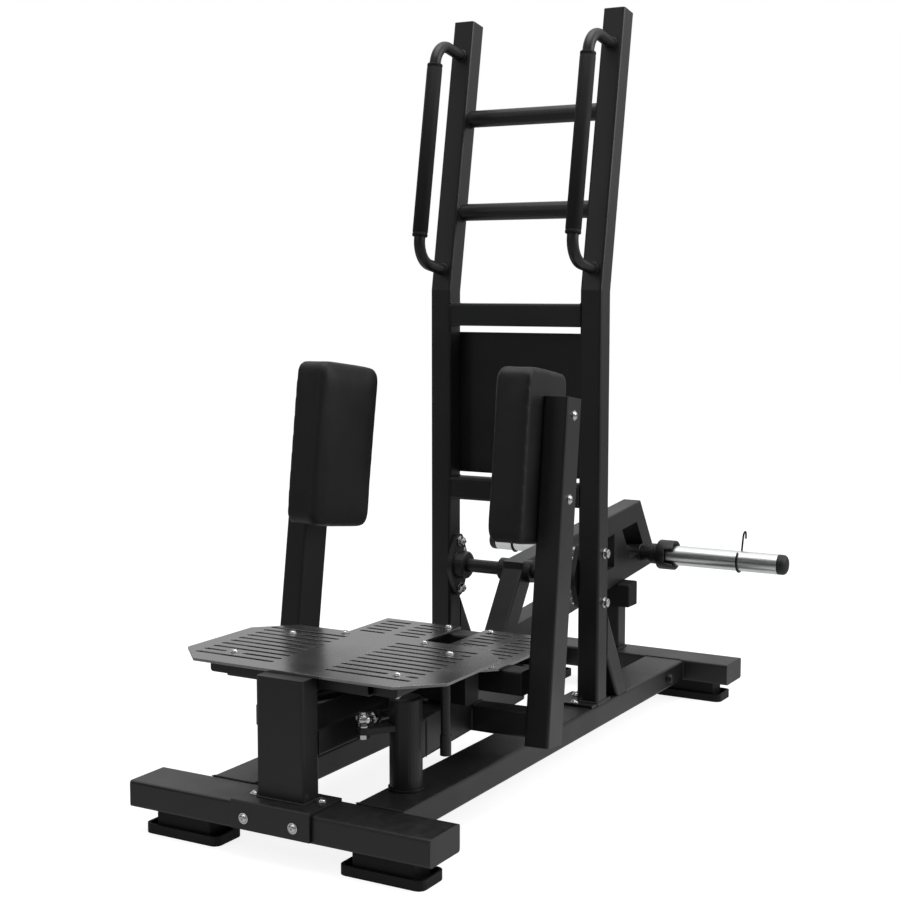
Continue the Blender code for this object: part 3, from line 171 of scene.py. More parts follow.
world = bpy.data.worlds.new("studio")
bpy.context.scene.world = world
world.use_nodes = True
sky = world.node_tree
sky.nodes.clear()
direction = add_node(sky, "ShaderNodeTexCoord").outputs["Generated"]
looking = add_node(sky, "ShaderNodeSeparateXYZ", {0: direction}).outputs
fade = between(sky, looking["Y"], -0.55, 0.55, WORLD_FRONT, WORLD_BACK, **SMOOTH)
risen = between(sky, looking["Z"], -0.02, 0.08, 1.0, WORLD_RISEN, **SMOOTH)
overhead = between(sky, looking["Z"], 0.20, 1.10, 0.0, WORLD_ABOVE, **SMOOTH)
mirrored = worked(sky, "ADD", worked(sky, "MULTIPLY", fade, risen), overhead)
ray = add_node(sky, "ShaderNodeLightPath").outputs
by_mirror = worked(sky, "MAXIMUM", ray["Is Glossy Ray"], ray["Is Transmission Ray"])
glow = either(sky, by_mirror, WORLD_EVEN, mirrored)
glow = either(sky, ray["Is Camera Ray"], glow, 1.0)
sky_sockets = {"Color": (1, 1, 1, 1), "Strength": glow}
background = add_node(sky, "ShaderNodeBackground", sky_sockets)
add_node(sky, "ShaderNodeOutputWorld", {"Surface": background.outputs[0]})
bpy.context.scene.view_settings.view_transform = "Standard"
print("world: even", WORLD_EVEN, "glossy", WORLD_FRONT, "to", WORLD_BACK)


# %% Lamps
LAMP_AIM = Vector((0, 0, 0.7))


def soft_lamp(name, place, size, power):
    """A square area lamp at a place, turned towards the middle of the machine."""
    data = bpy.data.lights.new(name, "AREA")
    data.size = size
    data.energy = power
    lamp = linked(name, data)
    lamp.location = place
    lamp.rotation_euler = (LAMP_AIM - Vector(place)).to_track_quat("-Z", "Y").to_euler()


soft_lamp("lamp_right", (3.4, 1.2, 2.6), 2.4, 55)
soft_lamp("lamp_top", (0.2, -0.4, 4.2), 2.8, 55)
soft_lamp("lamp_front", (-1.6, -3.6, 2.4), 2.0, 9)
print("lamps: 3")

# %% [markdown]
# ## Floor
# The floor is a large white sheet that belongs to the stage, not to the machine. The camera and
# mirrors see it as the same white as the background, dimmed only where the machine keeps light
# off it, so the feet stand on something.

# %% Floor
FLOOR_REACH = 14.0
FLOOR_DROP = 0.0005
FLOOR_SEEN = 0.86
FLOOR_MIRRORED = (0.36, 0.05)

corner_signs = np.array([(-1, -1), (1, -1), (1, 1), (-1, 1)], float)
floor_points = np.column_stack([corner_signs * FLOOR_REACH, np.full(4, -FLOOR_DROP)])
floor_mesh = bpy.data.meshes.new("floor")
floor_mesh.from_pydata(floor_points.tolist(), [], [(0, 1, 2, 3)])
floor = linked("floor", floor_mesh)

floor_tree, floor_shader = new_finish("floor_paint", specular=0.1)
place = {0: own_metres(floor_tree)}
from_middle = add_node(floor_tree, "ShaderNodeVectorMath", place, operation="LENGTH")
mirror_glow = between(floor_tree, from_middle.outputs["Value"], 0.5, 1.8, *FLOOR_MIRRORED)
ray = add_node(floor_tree, "ShaderNodeLightPath").outputs
in_mirror = worked(floor_tree, "MULTIPLY", mirror_glow, ray["Is Glossy Ray"])
seen = worked(floor_tree, "MULTIPLY", ray["Is Camera Ray"], FLOOR_SEEN)
glow = worked(floor_tree, "ADD", seen, in_mirror)
fill(floor_shader, {"Base Color": (0.45, 0.45, 0.45, 1), "Roughness": 0.9})
fill(floor_shader, {"Emission Color": (1, 1, 1, 1), "Emission Strength": glow})
floor_mesh.materials.append(FINISHES["floor_paint"])
print("floor reaches", FLOOR_REACH, "m")

# %% [markdown]
# ## Putting a surface into a mesh
# Every new piece is worked out as an array of points on a grid, then handed to Blender in one
# go. One helper joins neighbouring grid points with four-sided faces, and a second merges the
# doubled points at seams and poles, turns all faces outwards and marks sharp edges, so that
# round parts shade smoothly while their rims stay crisp.

# %% Grid faces and dressed pieces
SHARP = 32
DOUBLED = 1e-6


def grid_faces(rows, columns):
    """Four-sided faces between rows of points, each row a closed loop of columns points."""
    row = np.arange(rows - 1)[:, None] * columns
    column = np.arange(columns)[None, :]
    following = (column + 1) % columns
    corners = (row + column, row + following, row + columns + following, row + columns + column)
    return np.stack(corners, axis=-1).reshape(-1, 4)


def merge_doubled(mesh, distance=DOUBLED):
    """Merges points that lie on one another and turns all faces outwards."""
    work = bmesh.new()
    work.from_mesh(mesh)
    bmesh.ops.remove_doubles(work, verts=work.verts, dist=distance)
    bmesh.ops.recalc_face_normals(work, faces=work.faces)
    work.to_mesh(mesh)
    work.free()


def dressed(name, shape, body, slot, finish=None, sharp=SHARP):
    """Makes a smooth piece from points and faces and lets it ride on a body. Its finish has the
    name of its slot, unless another is named."""
    points, faces = shape
    mesh = bpy.data.meshes.new(name)
    mesh.from_pydata(points.tolist(), [], faces.tolist())
    merge_doubled(mesh)
    mesh.shade_smooth()
    mesh.set_sharp_from_angle(angle=math.radians(sharp))
    mesh.materials.append(FINISHES[finish or slot])
    piece = linked(name, mesh)
    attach(piece, body)
    return piece


def together(shapes):
    """Several (points, faces) shapes as one, each set of faces counted on from the last."""
    counts = np.cumsum([0] + [len(points) for points, faces in shapes])
    points = np.concatenate([points for points, faces in shapes])
    faces = np.concatenate([faces + start for (_, faces), start in zip(shapes, counts)])
    return points, faces


print("helpers: grid_faces, dressed, together")

# %% [markdown]
# ## Turned shapes
# Collars, cups, caps and pins come off a lathe. A lathe shape is a function of two parameters:
# the step along its profile and the angle round its axis. A profile that starts and ends on the
# axis, with radius 0, closes the shape.

# %% Turned shapes
ALONG_X = np.array([(1, 0, 0), (0, 1, 0), (0, 0, 1)], float)
ALONG_Z = np.array([(0, 0, 1), (1, 0, 0), (0, 1, 0)], float)


def round_angles(count):
    """Evenly spaced angles of a full turn, without the doubled last one."""
    return np.linspace(0, 2 * np.pi, count, endpoint=False)


def ringed(along, radius, count):
    """Rings along x: x is the distance along, y and z are the radius times the cosine and the
    sine of the angle. Both may differ from ring to ring and from angle to angle."""
    along, radius, angle = np.broadcast_arrays(along, radius, round_angles(count))
    points = np.stack([along, radius * np.cos(angle), radius * np.sin(angle)], axis=-1)
    return points.reshape(-1, 3), grid_faces(len(along), count)


def turned(profile, count, axes=ALONG_X, place=(0, 0, 0)):
    """Each (along, radius) pair in millimetres becomes one round ring about the first of the
    axes, which starts at the place."""
    along, radius = np.array(profile, float).T[:, :, None] * MM
    points, faces = ringed(along, radius, count)
    return points @ axes + place, faces


print("turned shapes ready")

# %% [markdown]
# ## Shapes carried along a path
# Handles, the wire clip and weld beads are a round section carried along a line. At each point
# of the path the section is set square to the direction of travel. The third direction is the
# cross product of the travel with a fixed upright, so the section never twists.

# %% Shapes carried along a path
TIP = 1e-4


def unit(rows):
    """Each row divided by its length."""
    return rows / np.linalg.norm(rows, axis=-1, keepdims=True)


def carried(path, radius, upright, count=24):
    """The ring at each path point is the point plus radius times the cosine of the angle
    sideways and the sine of the angle upwards."""
    travel = unit(np.gradient(path, axis=0))
    sideways = unit(np.cross(travel, np.asarray(upright, float)))
    upwards = np.cross(sideways, travel)
    angle = round_angles(count)[None, :, None]
    reach = np.broadcast_to(radius, (len(path),))[:, None, None]
    rings = reach * (np.cos(angle) * sideways[:, None] + np.sin(angle) * upwards[:, None])
    return (path[:, None] + rings).reshape(-1, 3), grid_faces(len(path), count)


def closed_ends(path, radius, upright, count=24):
    """The same shape with its first and last rings drawn together to a point."""
    inner = np.gradient(path, axis=0)
    path = np.concatenate([path[:1] - inner[:1] * TIP, path, path[-1:] + inner[-1:] * TIP])
    radius = np.concatenate([[1e-9], np.full(len(inner), radius), [1e-9]])
    return carried(path, radius, upright, count)


def smooth_path(points, steps):
    """A smooth line through the points: each stretch is a cubic that leaves and enters its end
    points in the direction from the point before to the point after."""
    slope = np.gradient(points, axis=0)
    share = np.linspace(0, 1, steps, endpoint=False)[None, :, None]
    start, end = points[:-1, None], points[1:, None]
    leave, enter = slope[:-1, None], slope[1:, None]
    cube = (2 * share**3 - 3 * share**2 + 1) * start + (share**3 - 2 * share**2 + share) * leave
    cube = cube + (3 * share**2 - 2 * share**3) * end + (share**3 - share**2) * enter
    return np.concatenate([cube.reshape(-1, 3), points[-1:]])


print("path shapes ready")

# %% [markdown]
# ## Node groups for what several finishes share
# Five effects are built once, as node groups with named sockets: edges that catch light and
# are painted lighter, partly as worn paint and partly as a painted highlight, the fine grain of
# powder coat, dust on faces that look up, the lines a lathe leaves, and the pebbled grain of
# vinyl. In the first, a Bevel node gives the rounded normal of a hard edge, and where that
# departs from the face's own normal there is an edge.

# %% Group helpers
FLOAT, VECTOR = "NodeSocketFloat", "NodeSocketVector"


def noise(tree, scale, detail, place=None):
    """A noise pattern on the piece's own metres, or on another place."""
    sockets = {"Vector": place or own_metres(tree), "Scale": scale, "Detail": detail}
    return add_node(tree, "ShaderNodeTexNoise", sockets).outputs["Fac"]


def start_group(name, inputs, outputs):
    """An empty shader group with its named sockets, what it is given, and its result node. An
    input whose value is a tuple and an output called Normal are vectors."""
    group = bpy.data.node_groups.new(name, "ShaderNodeTree")
    for label, value in inputs.items():
        kind = VECTOR if isinstance(value, tuple) else FLOAT
        socket = group.interface.new_socket(name=label, in_out="INPUT", socket_type=kind)
        socket.default_value = value
    for label in outputs:
        kind = VECTOR if label == "Normal" else FLOAT
        group.interface.new_socket(name=label, in_out="OUTPUT", socket_type=kind)
    given = group.nodes.new("NodeGroupInput").outputs
    return group, given, group.nodes.new("NodeGroupOutput")


print("group helpers ready")

# %% Edges, grain and dust
edge_inputs = {"Radius": 0.0015, "Patch Scale": 20.0}
edges, given, result = start_group("worn_and_highlit_edges", edge_inputs, ["Normal", "Edge"])
rounded = add_node(edges, "ShaderNodeBevel", {"Radius": given["Radius"]}, samples=4).outputs[0]
facing = add_node(edges, "ShaderNodeNewGeometry").outputs["Normal"]
alike = add_node(edges, "ShaderNodeVectorMath", {0: rounded, 1: facing}, operation="DOT_PRODUCT")
on_edge = between(edges, alike.outputs["Value"], 0.98, 0.78)
patches = between(edges, noise(edges, given["Patch Scale"], 3.0), 0.42, 0.68)
# The Edge mask marks where the paints turn lighter: worn paint and a painted highlight along each
# edge.
fill(result, {"Normal": rounded, "Edge": worked(edges, "MULTIPLY", on_edge, patches)})

grain, given, result = start_group("fine_grain", {"Scale": 900.0}, ["Height", "Tone"])
peel = noise(grain, given["Scale"], 1.0)
fill(result, {"Height": peel, "Tone": noise(grain, 9.0, 4.0)})

dust, given, result = start_group("settled_dust", {"Amount": 0.1}, ["Mask"])
facing = add_node(dust, "ShaderNodeNewGeometry").outputs["Normal"]
upward = add_node(dust, "ShaderNodeSeparateXYZ", {0: facing}).outputs["Z"]
speckled = between(dust, noise(dust, 60.0, 6.0), 0.40, 0.75, 0.25, 1.0)
settled = worked(dust, "MULTIPLY", between(dust, upward, 0.75, 1.0), speckled)
fill(result, {"Mask": worked(dust, "MULTIPLY", settled, given["Amount"])})
print("groups:", edges.name, grain.name, dust.name)

# %% Lathe lines and pebbled vinyl
line_inputs = {"Stretch": (1.0, 0.01, 0.01), "Scale": 1500.0}
lines, given, result = start_group("lathe_lines", line_inputs, ["Height", "Scuffs"])
stretching = {0: own_metres(lines), 1: given["Stretch"]}
drawn_out = add_node(lines, "ShaderNodeVectorMath", stretching, operation="MULTIPLY").outputs[0]
fine = noise(lines, given["Scale"], 2.0, drawn_out)
broad = between(lines, noise(lines, 90.0, 5.0, drawn_out), 0.45, 0.75)
spots = between(lines, noise(lines, 45.0, 5.0), 0.45, 0.70)
fill(result, {"Height": fine, "Scuffs": worked(lines, "MULTIPLY", broad, spots)})

pebbles, given, result = start_group("vinyl_grain", {"Scale": 650.0}, ["Height", "Tone"])
cell_sockets = {"Vector": own_metres(pebbles), "Scale": given["Scale"]}
cells = add_node(pebbles, "ShaderNodeTexVoronoi", cell_sockets, feature="SMOOTH_F1")
wrinkles = worked(pebbles, "MULTIPLY", noise(pebbles, 140.0, 3.0), 0.6)
domed = worked(pebbles, "SUBTRACT", 1.0, cells.outputs["Distance"])
grained = worked(pebbles, "ADD", domed, wrinkles)
fill(result, {"Height": grained, "Tone": noise(pebbles, 12.0, 3.0)})
print("groups:", lines.name, pebbles.name)

# %% [markdown]
# ## Finishes
# Each finish is one material. Paint is nearly black, and its look comes from a soft gloss, a
# faint orange-peel bump and edges painted lighter, for worn paint and a painted highlight.
# Values that are the same all over are set on the shader itself, and only what changes over the
# surface reaches it through nodes.

# %% Painted finishes
DUST_COLOUR = (0.16, 0.155, 0.15, 1)


def blended(tree, share, first, second):
    """The first colour where the share is 0 and the second where it is 1."""
    sockets = {0: share, 6: first, 7: second}
    return add_node(tree, "ShaderNodeMix", sockets, data_type="RGBA").outputs[2]


def shade(colour, factor=1.0):
    """The colour times a factor, with full opacity."""
    return tuple(factor * value for value in colour) + (1,)


def grouped(tree, group, **inputs):
    """Places a node group in a material with its own values."""
    made = add_node(tree, "ShaderNodeGroup", node_tree=group)
    fill(made, {label.replace("_", " ").title(): value for label, value in inputs.items()})
    return made.outputs


def bumped(tree, strength, distance, height, **normal):
    """A bump of the height, on top of another normal where one is given."""
    sockets = {"Strength": strength, "Distance": distance, "Height": height, **normal}
    return add_node(tree, "ShaderNodeBump", sockets).outputs[0]


def painted(name, colour, edge_wear_and_highlight, rough, peel=1400.0, depth=0.00006, dusty=0.12, **plain):
    """Powder coat: tone, edges lighter for worn paint and a painted highlight, and dust in the
    colour, and orange peel in the normal.
    """
    tree, shader = new_finish(name, **plain)
    edge = grouped(tree, edges, radius=0.0016, patch_scale=24.0)
    peeled = grouped(tree, grain, scale=peel)
    settled = grouped(tree, dust, amount=dusty)
    coat = blended(tree, peeled["Tone"], shade(colour, 0.82), shade(colour, 1.22))
    # Edges turn lighter here: worn paint and a painted highlight along each edge.
    edge_wear_and_highlight_share = worked(tree, "MULTIPLY", edge["Edge"], 0.55)
    coat = blended(tree, edge_wear_and_highlight_share, coat, shade(edge_wear_and_highlight))
    coat = blended(tree, settled["Mask"], coat, DUST_COLOUR)
    uneven = between(tree, peeled["Tone"], 0.3, 0.7, rough - 0.04, rough + 0.05)
    dulled = worked(tree, "MULTIPLY", settled["Mask"], 0.5)
    gloss = worked(tree, "ADD", uneven, dulled)
    bump = bumped(tree, 0.5, depth, peeled["Height"], Normal=edge["Normal"])
    fill(shader, {"Base Color": coat, "Roughness": gloss, "Normal": bump})


# The second colour of each coat is lighter than the first and goes on its edges, for worn paint and
# a painted highlight. The plates' edges get the lightest painted highlight.
painted("black_coat", (0.0085, 0.0085, 0.009), (0.035, 0.035, 0.036), 0.40)
painted(
    "platform_coat", (0.26, 0.26, 0.262), (0.55, 0.55, 0.55), 0.25, 1800.0, 0.00002, 0.02,
    metallic=0.9,
)
painted("black_cast", (0.010, 0.010, 0.0105), (0.04, 0.04, 0.04), 0.46, 700.0, 0.00014, 0.10)
painted(
    "rubber", (0.006, 0.006, 0.0062), (0.010, 0.010, 0.010), 0.60, 1100.0, 0.0001, 0.05,
    specular=0.28,
)
print("finishes so far:", ", ".join(FINISHES))


# %% Bare steel and vinyl
def bare_steel(name, colour, rough, stretch, scale=1500.0, depth=0.00002):
    """Machined or plated steel: lathe lines in the normal and rubbed bands in the gloss."""
    tree, shader = new_finish(name, metallic=1.0)
    edge = grouped(tree, edges, radius=0.0006, patch_scale=60.0)
    marks = grouped(tree, lines, stretch=stretch, scale=scale)
    metal = blended(tree, marks["Scuffs"], shade(colour), shade(colour, 0.88))
    gloss = between(tree, marks["Scuffs"], 0.0, 1.0, rough, rough + 0.10)
    bump = bumped(tree, 0.6, depth, marks["Height"], Normal=edge["Normal"])
    fill(shader, {"Base Color": metal, "Roughness": gloss, "Normal": bump})


bare_steel("chrome", (0.80, 0.81, 0.82), 0.28, (1.0, 0.01, 0.01), 1800.0)
bare_steel("machined_steel", (0.56, 0.56, 0.55), 0.26, (0.02, 0.02, 1.0))
bare_steel("bolt_steel", (0.66, 0.66, 0.65), 0.22, (0.3, 0.3, 0.3), 900.0, 0.00004)
bare_steel("spring_wire", (0.022, 0.022, 0.024), 0.42, (0.3, 0.3, 0.3), 900.0)

tree, shader = new_finish("pad_cover", specular=0.34)
pebbled = grouped(tree, pebbles, scale=650.0)
settled = grouped(tree, dust, amount=0.05)
skin = blended(tree, pebbled["Tone"], (0.0085, 0.0085, 0.009, 1), (0.0125, 0.0125, 0.013, 1))
skin = blended(tree, settled["Mask"], skin, (0.12, 0.12, 0.12, 1))
sheen = between(tree, pebbled["Tone"], 0.3, 0.7, 0.46, 0.56)
bump = bumped(tree, 0.45, 0.00022, pebbled["Height"])
fill(shader, {"Base Color": skin, "Roughness": sheen, "Normal": bump})
print("all finishes:", ", ".join(FINISHES))

# %% [markdown]
# ## Dressing the CAD nodes
# The record names a material slot for every node. The finish of that name takes the place of
# the plain one that came with the frame.

# %% Dressing the CAD nodes
for part in frame["record"]["subparts"]:
    for held in nodes[part["node"]].material_slots:
        held.material = FINISHES[part["material_slot"]]

# %% [markdown]
# ## Places on the machine
# The frame is measured from the front face of the front cross tube, in millimetres, with x from
# the middle. One helper turns such drawn places into world metres. Left pieces are the right
# ones with x reversed, so another helper makes a piece for both sides from one shape.

# %% Places on the machine
FRONT_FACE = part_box("front_cross_tube")[0].y
SIDES = (("right", 1), ("left", -1))
SIGNS = (1, -1)
RIGHTWARDS = (1, 0, 0)
UP, DOWN, FORWARD = (0, 0, 1), (0, 0, -1), (0, -1, 0)


def drawn(points):
    """World metres of (x, y, z) millimetres measured from the front face."""
    return np.asarray(points, float) * MM + np.array([0, FRONT_FACE, 0])


def sided(points, side):
    """The points with x reversed for the left side."""
    return points * np.array([side, 1, 1])


def both_sides(label, shape, body, slot, replaced=None, **more):
    """The shape on the right, and with x reversed on the left. A {} in the body's name stands
    for the side. Where a CAD node's name is given, the piece takes that node's place."""
    points, faces = shape
    pieces = []
    for name, side in SIDES:
        own = sided(points, side), faces
        pieces.append(dressed(f"{label}_{name}", own, body.format(name), slot, **more))
        if replaced:
            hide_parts(f"{replaced}_{name}")
    return pieces


print("front face at y =", round(FRONT_FACE, 4))

# %% [markdown]
# ## Weight horns
# Each horn is a casting: a neck, a collar, a cup that stops the plates, and a core that the
# chromed sleeve sits on. The cup's rim is cut away at the front and the back and leaves a lip
# above and below. On the grid that is one more term: along the axis the rim stands out by the
# lip's length, times a smooth step of the height.

# %% Weight horns
HORN_AT = drawn((0, 1575, 325.5))
LIP = 20 * MM
LIP_STARTS = 0.50
LIP_RISES = 0.08


def horn_casting(count=96):
    """Each profile entry is (along, share of the lip, radius). The ring's place along the axis
    is along plus share times the lip, and the lip is full where the sine of the angle is far
    from nought and gone where it is near it."""
    profile = np.array([
        (25.3, 0, 0), (25.3, 0, 19.5), (26.3, 0, 20), (53.5, 0, 20), (53.8, 0, 20.2), (54, 0, 25),
        (55, 0, 26), (64, 0, 26), (64.6, 0, 25.2), (65.4, 0, 25.2), (66, 0, 26), (75.6, 0, 26),
        (76, 0, 27), (76, 0, 34), (77, 0, 36.4), (79.5, 0, 37.5), (98, 1, 37.5), (99.4, 1, 37.0),
        (100, 1, 36.2), (100, 1, 32.6), (99.2, 1, 31.8), (97, 1, 31.5), (87, 0, 31.5),
        (86, 0, 30.5), (86, 0, 20), (86, 0, 0),
    ])
    along, share, radius = (profile * np.array([MM, 1, MM])).T[:, :, None]
    height = np.clip((np.abs(np.sin(round_angles(count))) - LIP_STARTS) / LIP_RISES, 0, 1)
    lip = LIP * height * height * (3 - 2 * height)
    return ringed(along + share * lip, radius, count)


cap_line = [(391.3, 0), (391.3, 24.2), (392.0, 25), (399.5, 25), (400.1, 24.4), (400.9, 24.4)]
cap_line += [(401.5, 25), (404, 24.9), (407, 24.0), (410, 21.8), (412.4, 18.0), (413.9, 13)]
cap_line += [(414.7, 7.5), (415, 0)]
sleeve_line = [(86.4, 21.6), (86.4, 24.3), (87.2, 25), (390.4, 25), (391, 24.4), (391, 21.6)]
sleeve_line += [(86.4, 21.6)]
points, faces = together([horn_casting(), turned(cap_line, 72)])
both_sides("horn_casting", (points + HORN_AT, faces), "lever", "black_cast", "horn")
sleeve = turned(sleeve_line, 96, place=HORN_AT)
both_sides("plated_sleeve", sleeve, "lever", "chrome", "horn_sleeve")
print("horns: castings, caps and sleeves")

# %% [markdown]
# ## Wire clips
# A clip is one length of spring wire: a ring that grips the sleeve, open at the top, with one
# end turned up into a hooked tail. The ring is an arc, the tail a few set points, and a smooth
# line through both carries a round section.

# %% Wire clips
WIRE = 2.3 * MM
CLIP_RING = 27.4 * MM
CLIP_PLACES = {"right": 290, "left": -340}

ring_angle = np.radians(np.linspace(125, 415, 40))
ring = np.stack([0 * ring_angle, CLIP_RING * np.cos(ring_angle), CLIP_RING * np.sin(ring_angle)], 1)
tail_steps = np.array([(0.2, 1, 8), (0.6, 4, 24), (1.0, 7, 38), (1.4, 11, 45), (1.8, 17, 47.5)])
tail_steps = np.concatenate([tail_steps, [(2, 22, 44), (2, 23.5, 36), (2, 23, 29)]]) * MM
wire_line = smooth_path(np.concatenate([ring, ring[-1] + tail_steps]), 4)
points, faces = closed_ends(wire_line, WIRE, RIGHTWARDS, 14)
for name, side in SIDES:
    placed = sided(points, side) + HORN_AT + [CLIP_PLACES[name] * MM, 0, 0]
    clip = dressed(f"wire_clip_{name}", (placed, faces), f"{name}_clip", "spring_wire")
    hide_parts(f"clip_{name}")
print("wire clips: 2, wire", 2 * WIRE, "m thick")

# %% [markdown]
# ## Handles and grips
# The handles are bent tube. Each bend is an arc, so the path is a straight, an arc, a straight,
# an arc and a straight, all in the plane of the leaning upright. The grip is a thicker skin
# pulled over the middle, with a rolled ring at each end.

# %% Handles and grips
LEAN = math.radians(10)
KINK_AT = drawn((185, 930, 998))
UPRIGHT_FRONT = 25
HANDLE_TUBE = 12.5 * MM
HANDLE_FEET = (44, 532)
HANDLE_GAP = 0.3
BEND = 50
GRIP_START, GRIP_OUT = 97, 108


def on_upright(along, out):
    """World points that are along up the leaning upright and out from its front face: both
    distances are turned by the lean, and added to the place where the upright kinks."""
    along, out = np.broadcast_arrays(np.asarray(along, float), np.asarray(out, float))
    out = out + UPRIGHT_FRONT
    y = along * math.sin(LEAN) - out * math.cos(LEAN)
    z = along * math.cos(LEAN) + out * math.sin(LEAN)
    return KINK_AT + np.stack([0 * y, y, z], axis=-1) * MM


turn = np.radians(np.linspace(0, 90, 13))
rising, falling = BEND * (1 - np.sin(turn)), BEND * (1 - np.cos(turn))
low, high = HANDLE_FEET
along_line = np.concatenate([[low], low + falling, high - rising, [high]])
out_line = [[HANDLE_GAP], GRIP_OUT - rising, GRIP_OUT - falling, [HANDLE_GAP]]
handle_line = on_upright(along_line, np.concatenate(out_line))
grip_line = [(0, 12.8), (0, 15.2), (0.6, 16.4), (2, 17), (6, 17), (7.4, 16.2), (8.8, 16.2)]
grip_line += [(10.2, 17), (192, 17), (373.8, 17), (375.2, 16.2), (376.6, 16.2), (378, 17)]
grip_line += [(382, 17), (383.4, 16.4), (384, 15.2), (384, 12.8)]
grip_axis = unit(on_upright(1.0, GRIP_OUT) - on_upright(0.0, GRIP_OUT))
grip_frame = np.stack([grip_axis, RIGHTWARDS, np.cross(grip_axis, RIGHTWARDS)])
handle = carried(handle_line, HANDLE_TUBE, RIGHTWARDS, 36)
both_sides("bent_handle", handle, "frame", "black_coat", "handle")
grip = turned(grip_line, 48, grip_frame, on_upright(GRIP_START, GRIP_OUT))
both_sides("grip_skin", grip, "frame", "rubber", "grip")
print("handles and grips:", len(handle_line), "path points")

# %% [markdown]
# ## Bolts, nuts and washers
# Hexagon heads and nuts come from one formula: at each angle the radius is half the width
# across the flats, divided by the cosine of the angle from the middle of the nearest flat. The
# corners are taken off by a cone, as on a real forged head. Button heads are turned domes with
# a sunk six-sided socket. A set of bolts is one grid repeated at each place, turned to point
# the way that bolt points.

# %% Bolt shapes
HEX_FACE = 0.485
HEX_CONE = 0.58
WASHER = 2.1
BUTTON = np.array([
    (0, 0, 0), (0, 1.28, 0), (1.4, 1.28, 0), (1.5, 1.02, 0), (2.2, 1, 0), (3.6, 0.93, 0),
    (4.9, 0.74, 0), (5.5, 0.52, 0), (5.6, 0, 1), (3.0, 0, 1), (3.0, 0, 0),
])


def hexagon_reach(angle, flats):
    """Half the width over the flats, over the cosine of the angle to the nearest flat."""
    nearest = (angle + np.pi / 6) % (np.pi / 3) - np.pi / 6
    return flats / 2 / np.cos(nearest)


def hexagon_head(flats, low, high, count=36):
    """Rings up the side of a hexagon whose ends are cut back by a cone: at each end the height
    drops by 0.58 times how far the ring reaches beyond the round face."""
    reach = hexagon_reach(round_angles(count), flats)
    circle = np.full(count, HEX_FACE * flats)
    cut = HEX_CONE * (reach - circle)
    radii = np.stack([0 * cut, circle, reach, reach, circle, 0 * cut])
    heights = np.repeat([low, high], 3)[:, None] + np.outer([0, 0, 1, -1, 0, 0], cut)
    return ringed(heights, radii, count)


def bolt_head(flats, height, washer, thread=0.0):
    """A turned washer, a hexagon head on it, and a turned stub of thread on top where a nut is
    meant. All sizes are in millimetres."""
    plate = [(0, 0), (0, washer), (0.4, washer + 0.3), (1.6, washer + 0.3), (2.0, washer), (2.0, 0)]
    top = WASHER + height
    shapes = [turned(plate, 36), hexagon_head(flats * MM, WASHER * MM, top * MM)]
    if thread:
        stub = [(top - 1, 0), (top - 1, thread), (top + 3, thread), (top + 4, thread - 1)]
        shapes.append(turned([*stub, (top + 4, 0)], 24))
    return together(shapes)


def button_head(radius, count=36):
    """A dome with a washer under it and a six-sided socket sunk into its crown. Each row is the
    height, the share of the head's radius and the share of the socket's hexagon, and the ring's
    reach is the sum of the two."""
    socket = hexagon_reach(round_angles(count), 0.62 * radius)
    height, of_head, of_socket = BUTTON.T[:, :, None]
    points, faces = ringed(height, of_head * radius + of_socket * socket, count)
    return points * MM, faces


def pointing(direction):
    """Three axes whose first is the direction, for a shape that is drawn along x. The second is
    square to it and to the upright, or to x where the direction itself is upright."""
    first = unit(np.asarray(direction, float))
    helper = np.array([0.0, 0.0, 1.0]) if abs(first[2]) < 0.9 else np.array([1.0, 0.0, 0.0])
    second = unit(np.cross(helper, first))
    return np.stack([first, second, np.cross(first, second)])


def repeated(shape, places, directions):
    """The shape at every place, each copy's points turned by that copy's own axes."""
    points, faces = shape
    axes = np.stack([pointing(direction) for direction in directions])
    copies = np.einsum("ni,kij->knj", points, axes) + np.asarray(places, float)[:, None]
    offsets = np.arange(len(axes))[:, None, None] * len(points)
    return copies.reshape(-1, 3), (faces[None] + offsets).reshape(-1, 4)


hex_bolt = bolt_head(17, 7.5, 11.5)
hex_nut = bolt_head(17, 8.5, 11.5, thread=4.8)
small_nut = bolt_head(13, 6, 8.6, thread=3.8)
small_button = button_head(6.4)
pad_button = button_head(7.8)
print("bolt shapes:", len(hex_bolt[0]), "and", len(small_button[0]), "points")

# %% [markdown]
# ## Where the bolts are
# The bracket is bolted to the front cross tube from the front and from above, the plates to
# the rails and bearers below them, with nuts under the rails, the bearings through the uprights,
# and the uprights' foot plates to the long base tubes.

# %% Bolt places
RAIL_X, RAIL_BOLTS_Y = 178, (132.5, 318)
BEARING_BOLTS_Z = (431, 323)


def bolted(name, shape, spots):
    """One piece that holds the shape at every drawn spot, turned the way that bolt points."""
    places, directions = zip(*spots)
    bolts = repeated(shape, drawn(places), directions)
    dressed(name, bolts, "frame", "machined_steel", "bolt_steel")


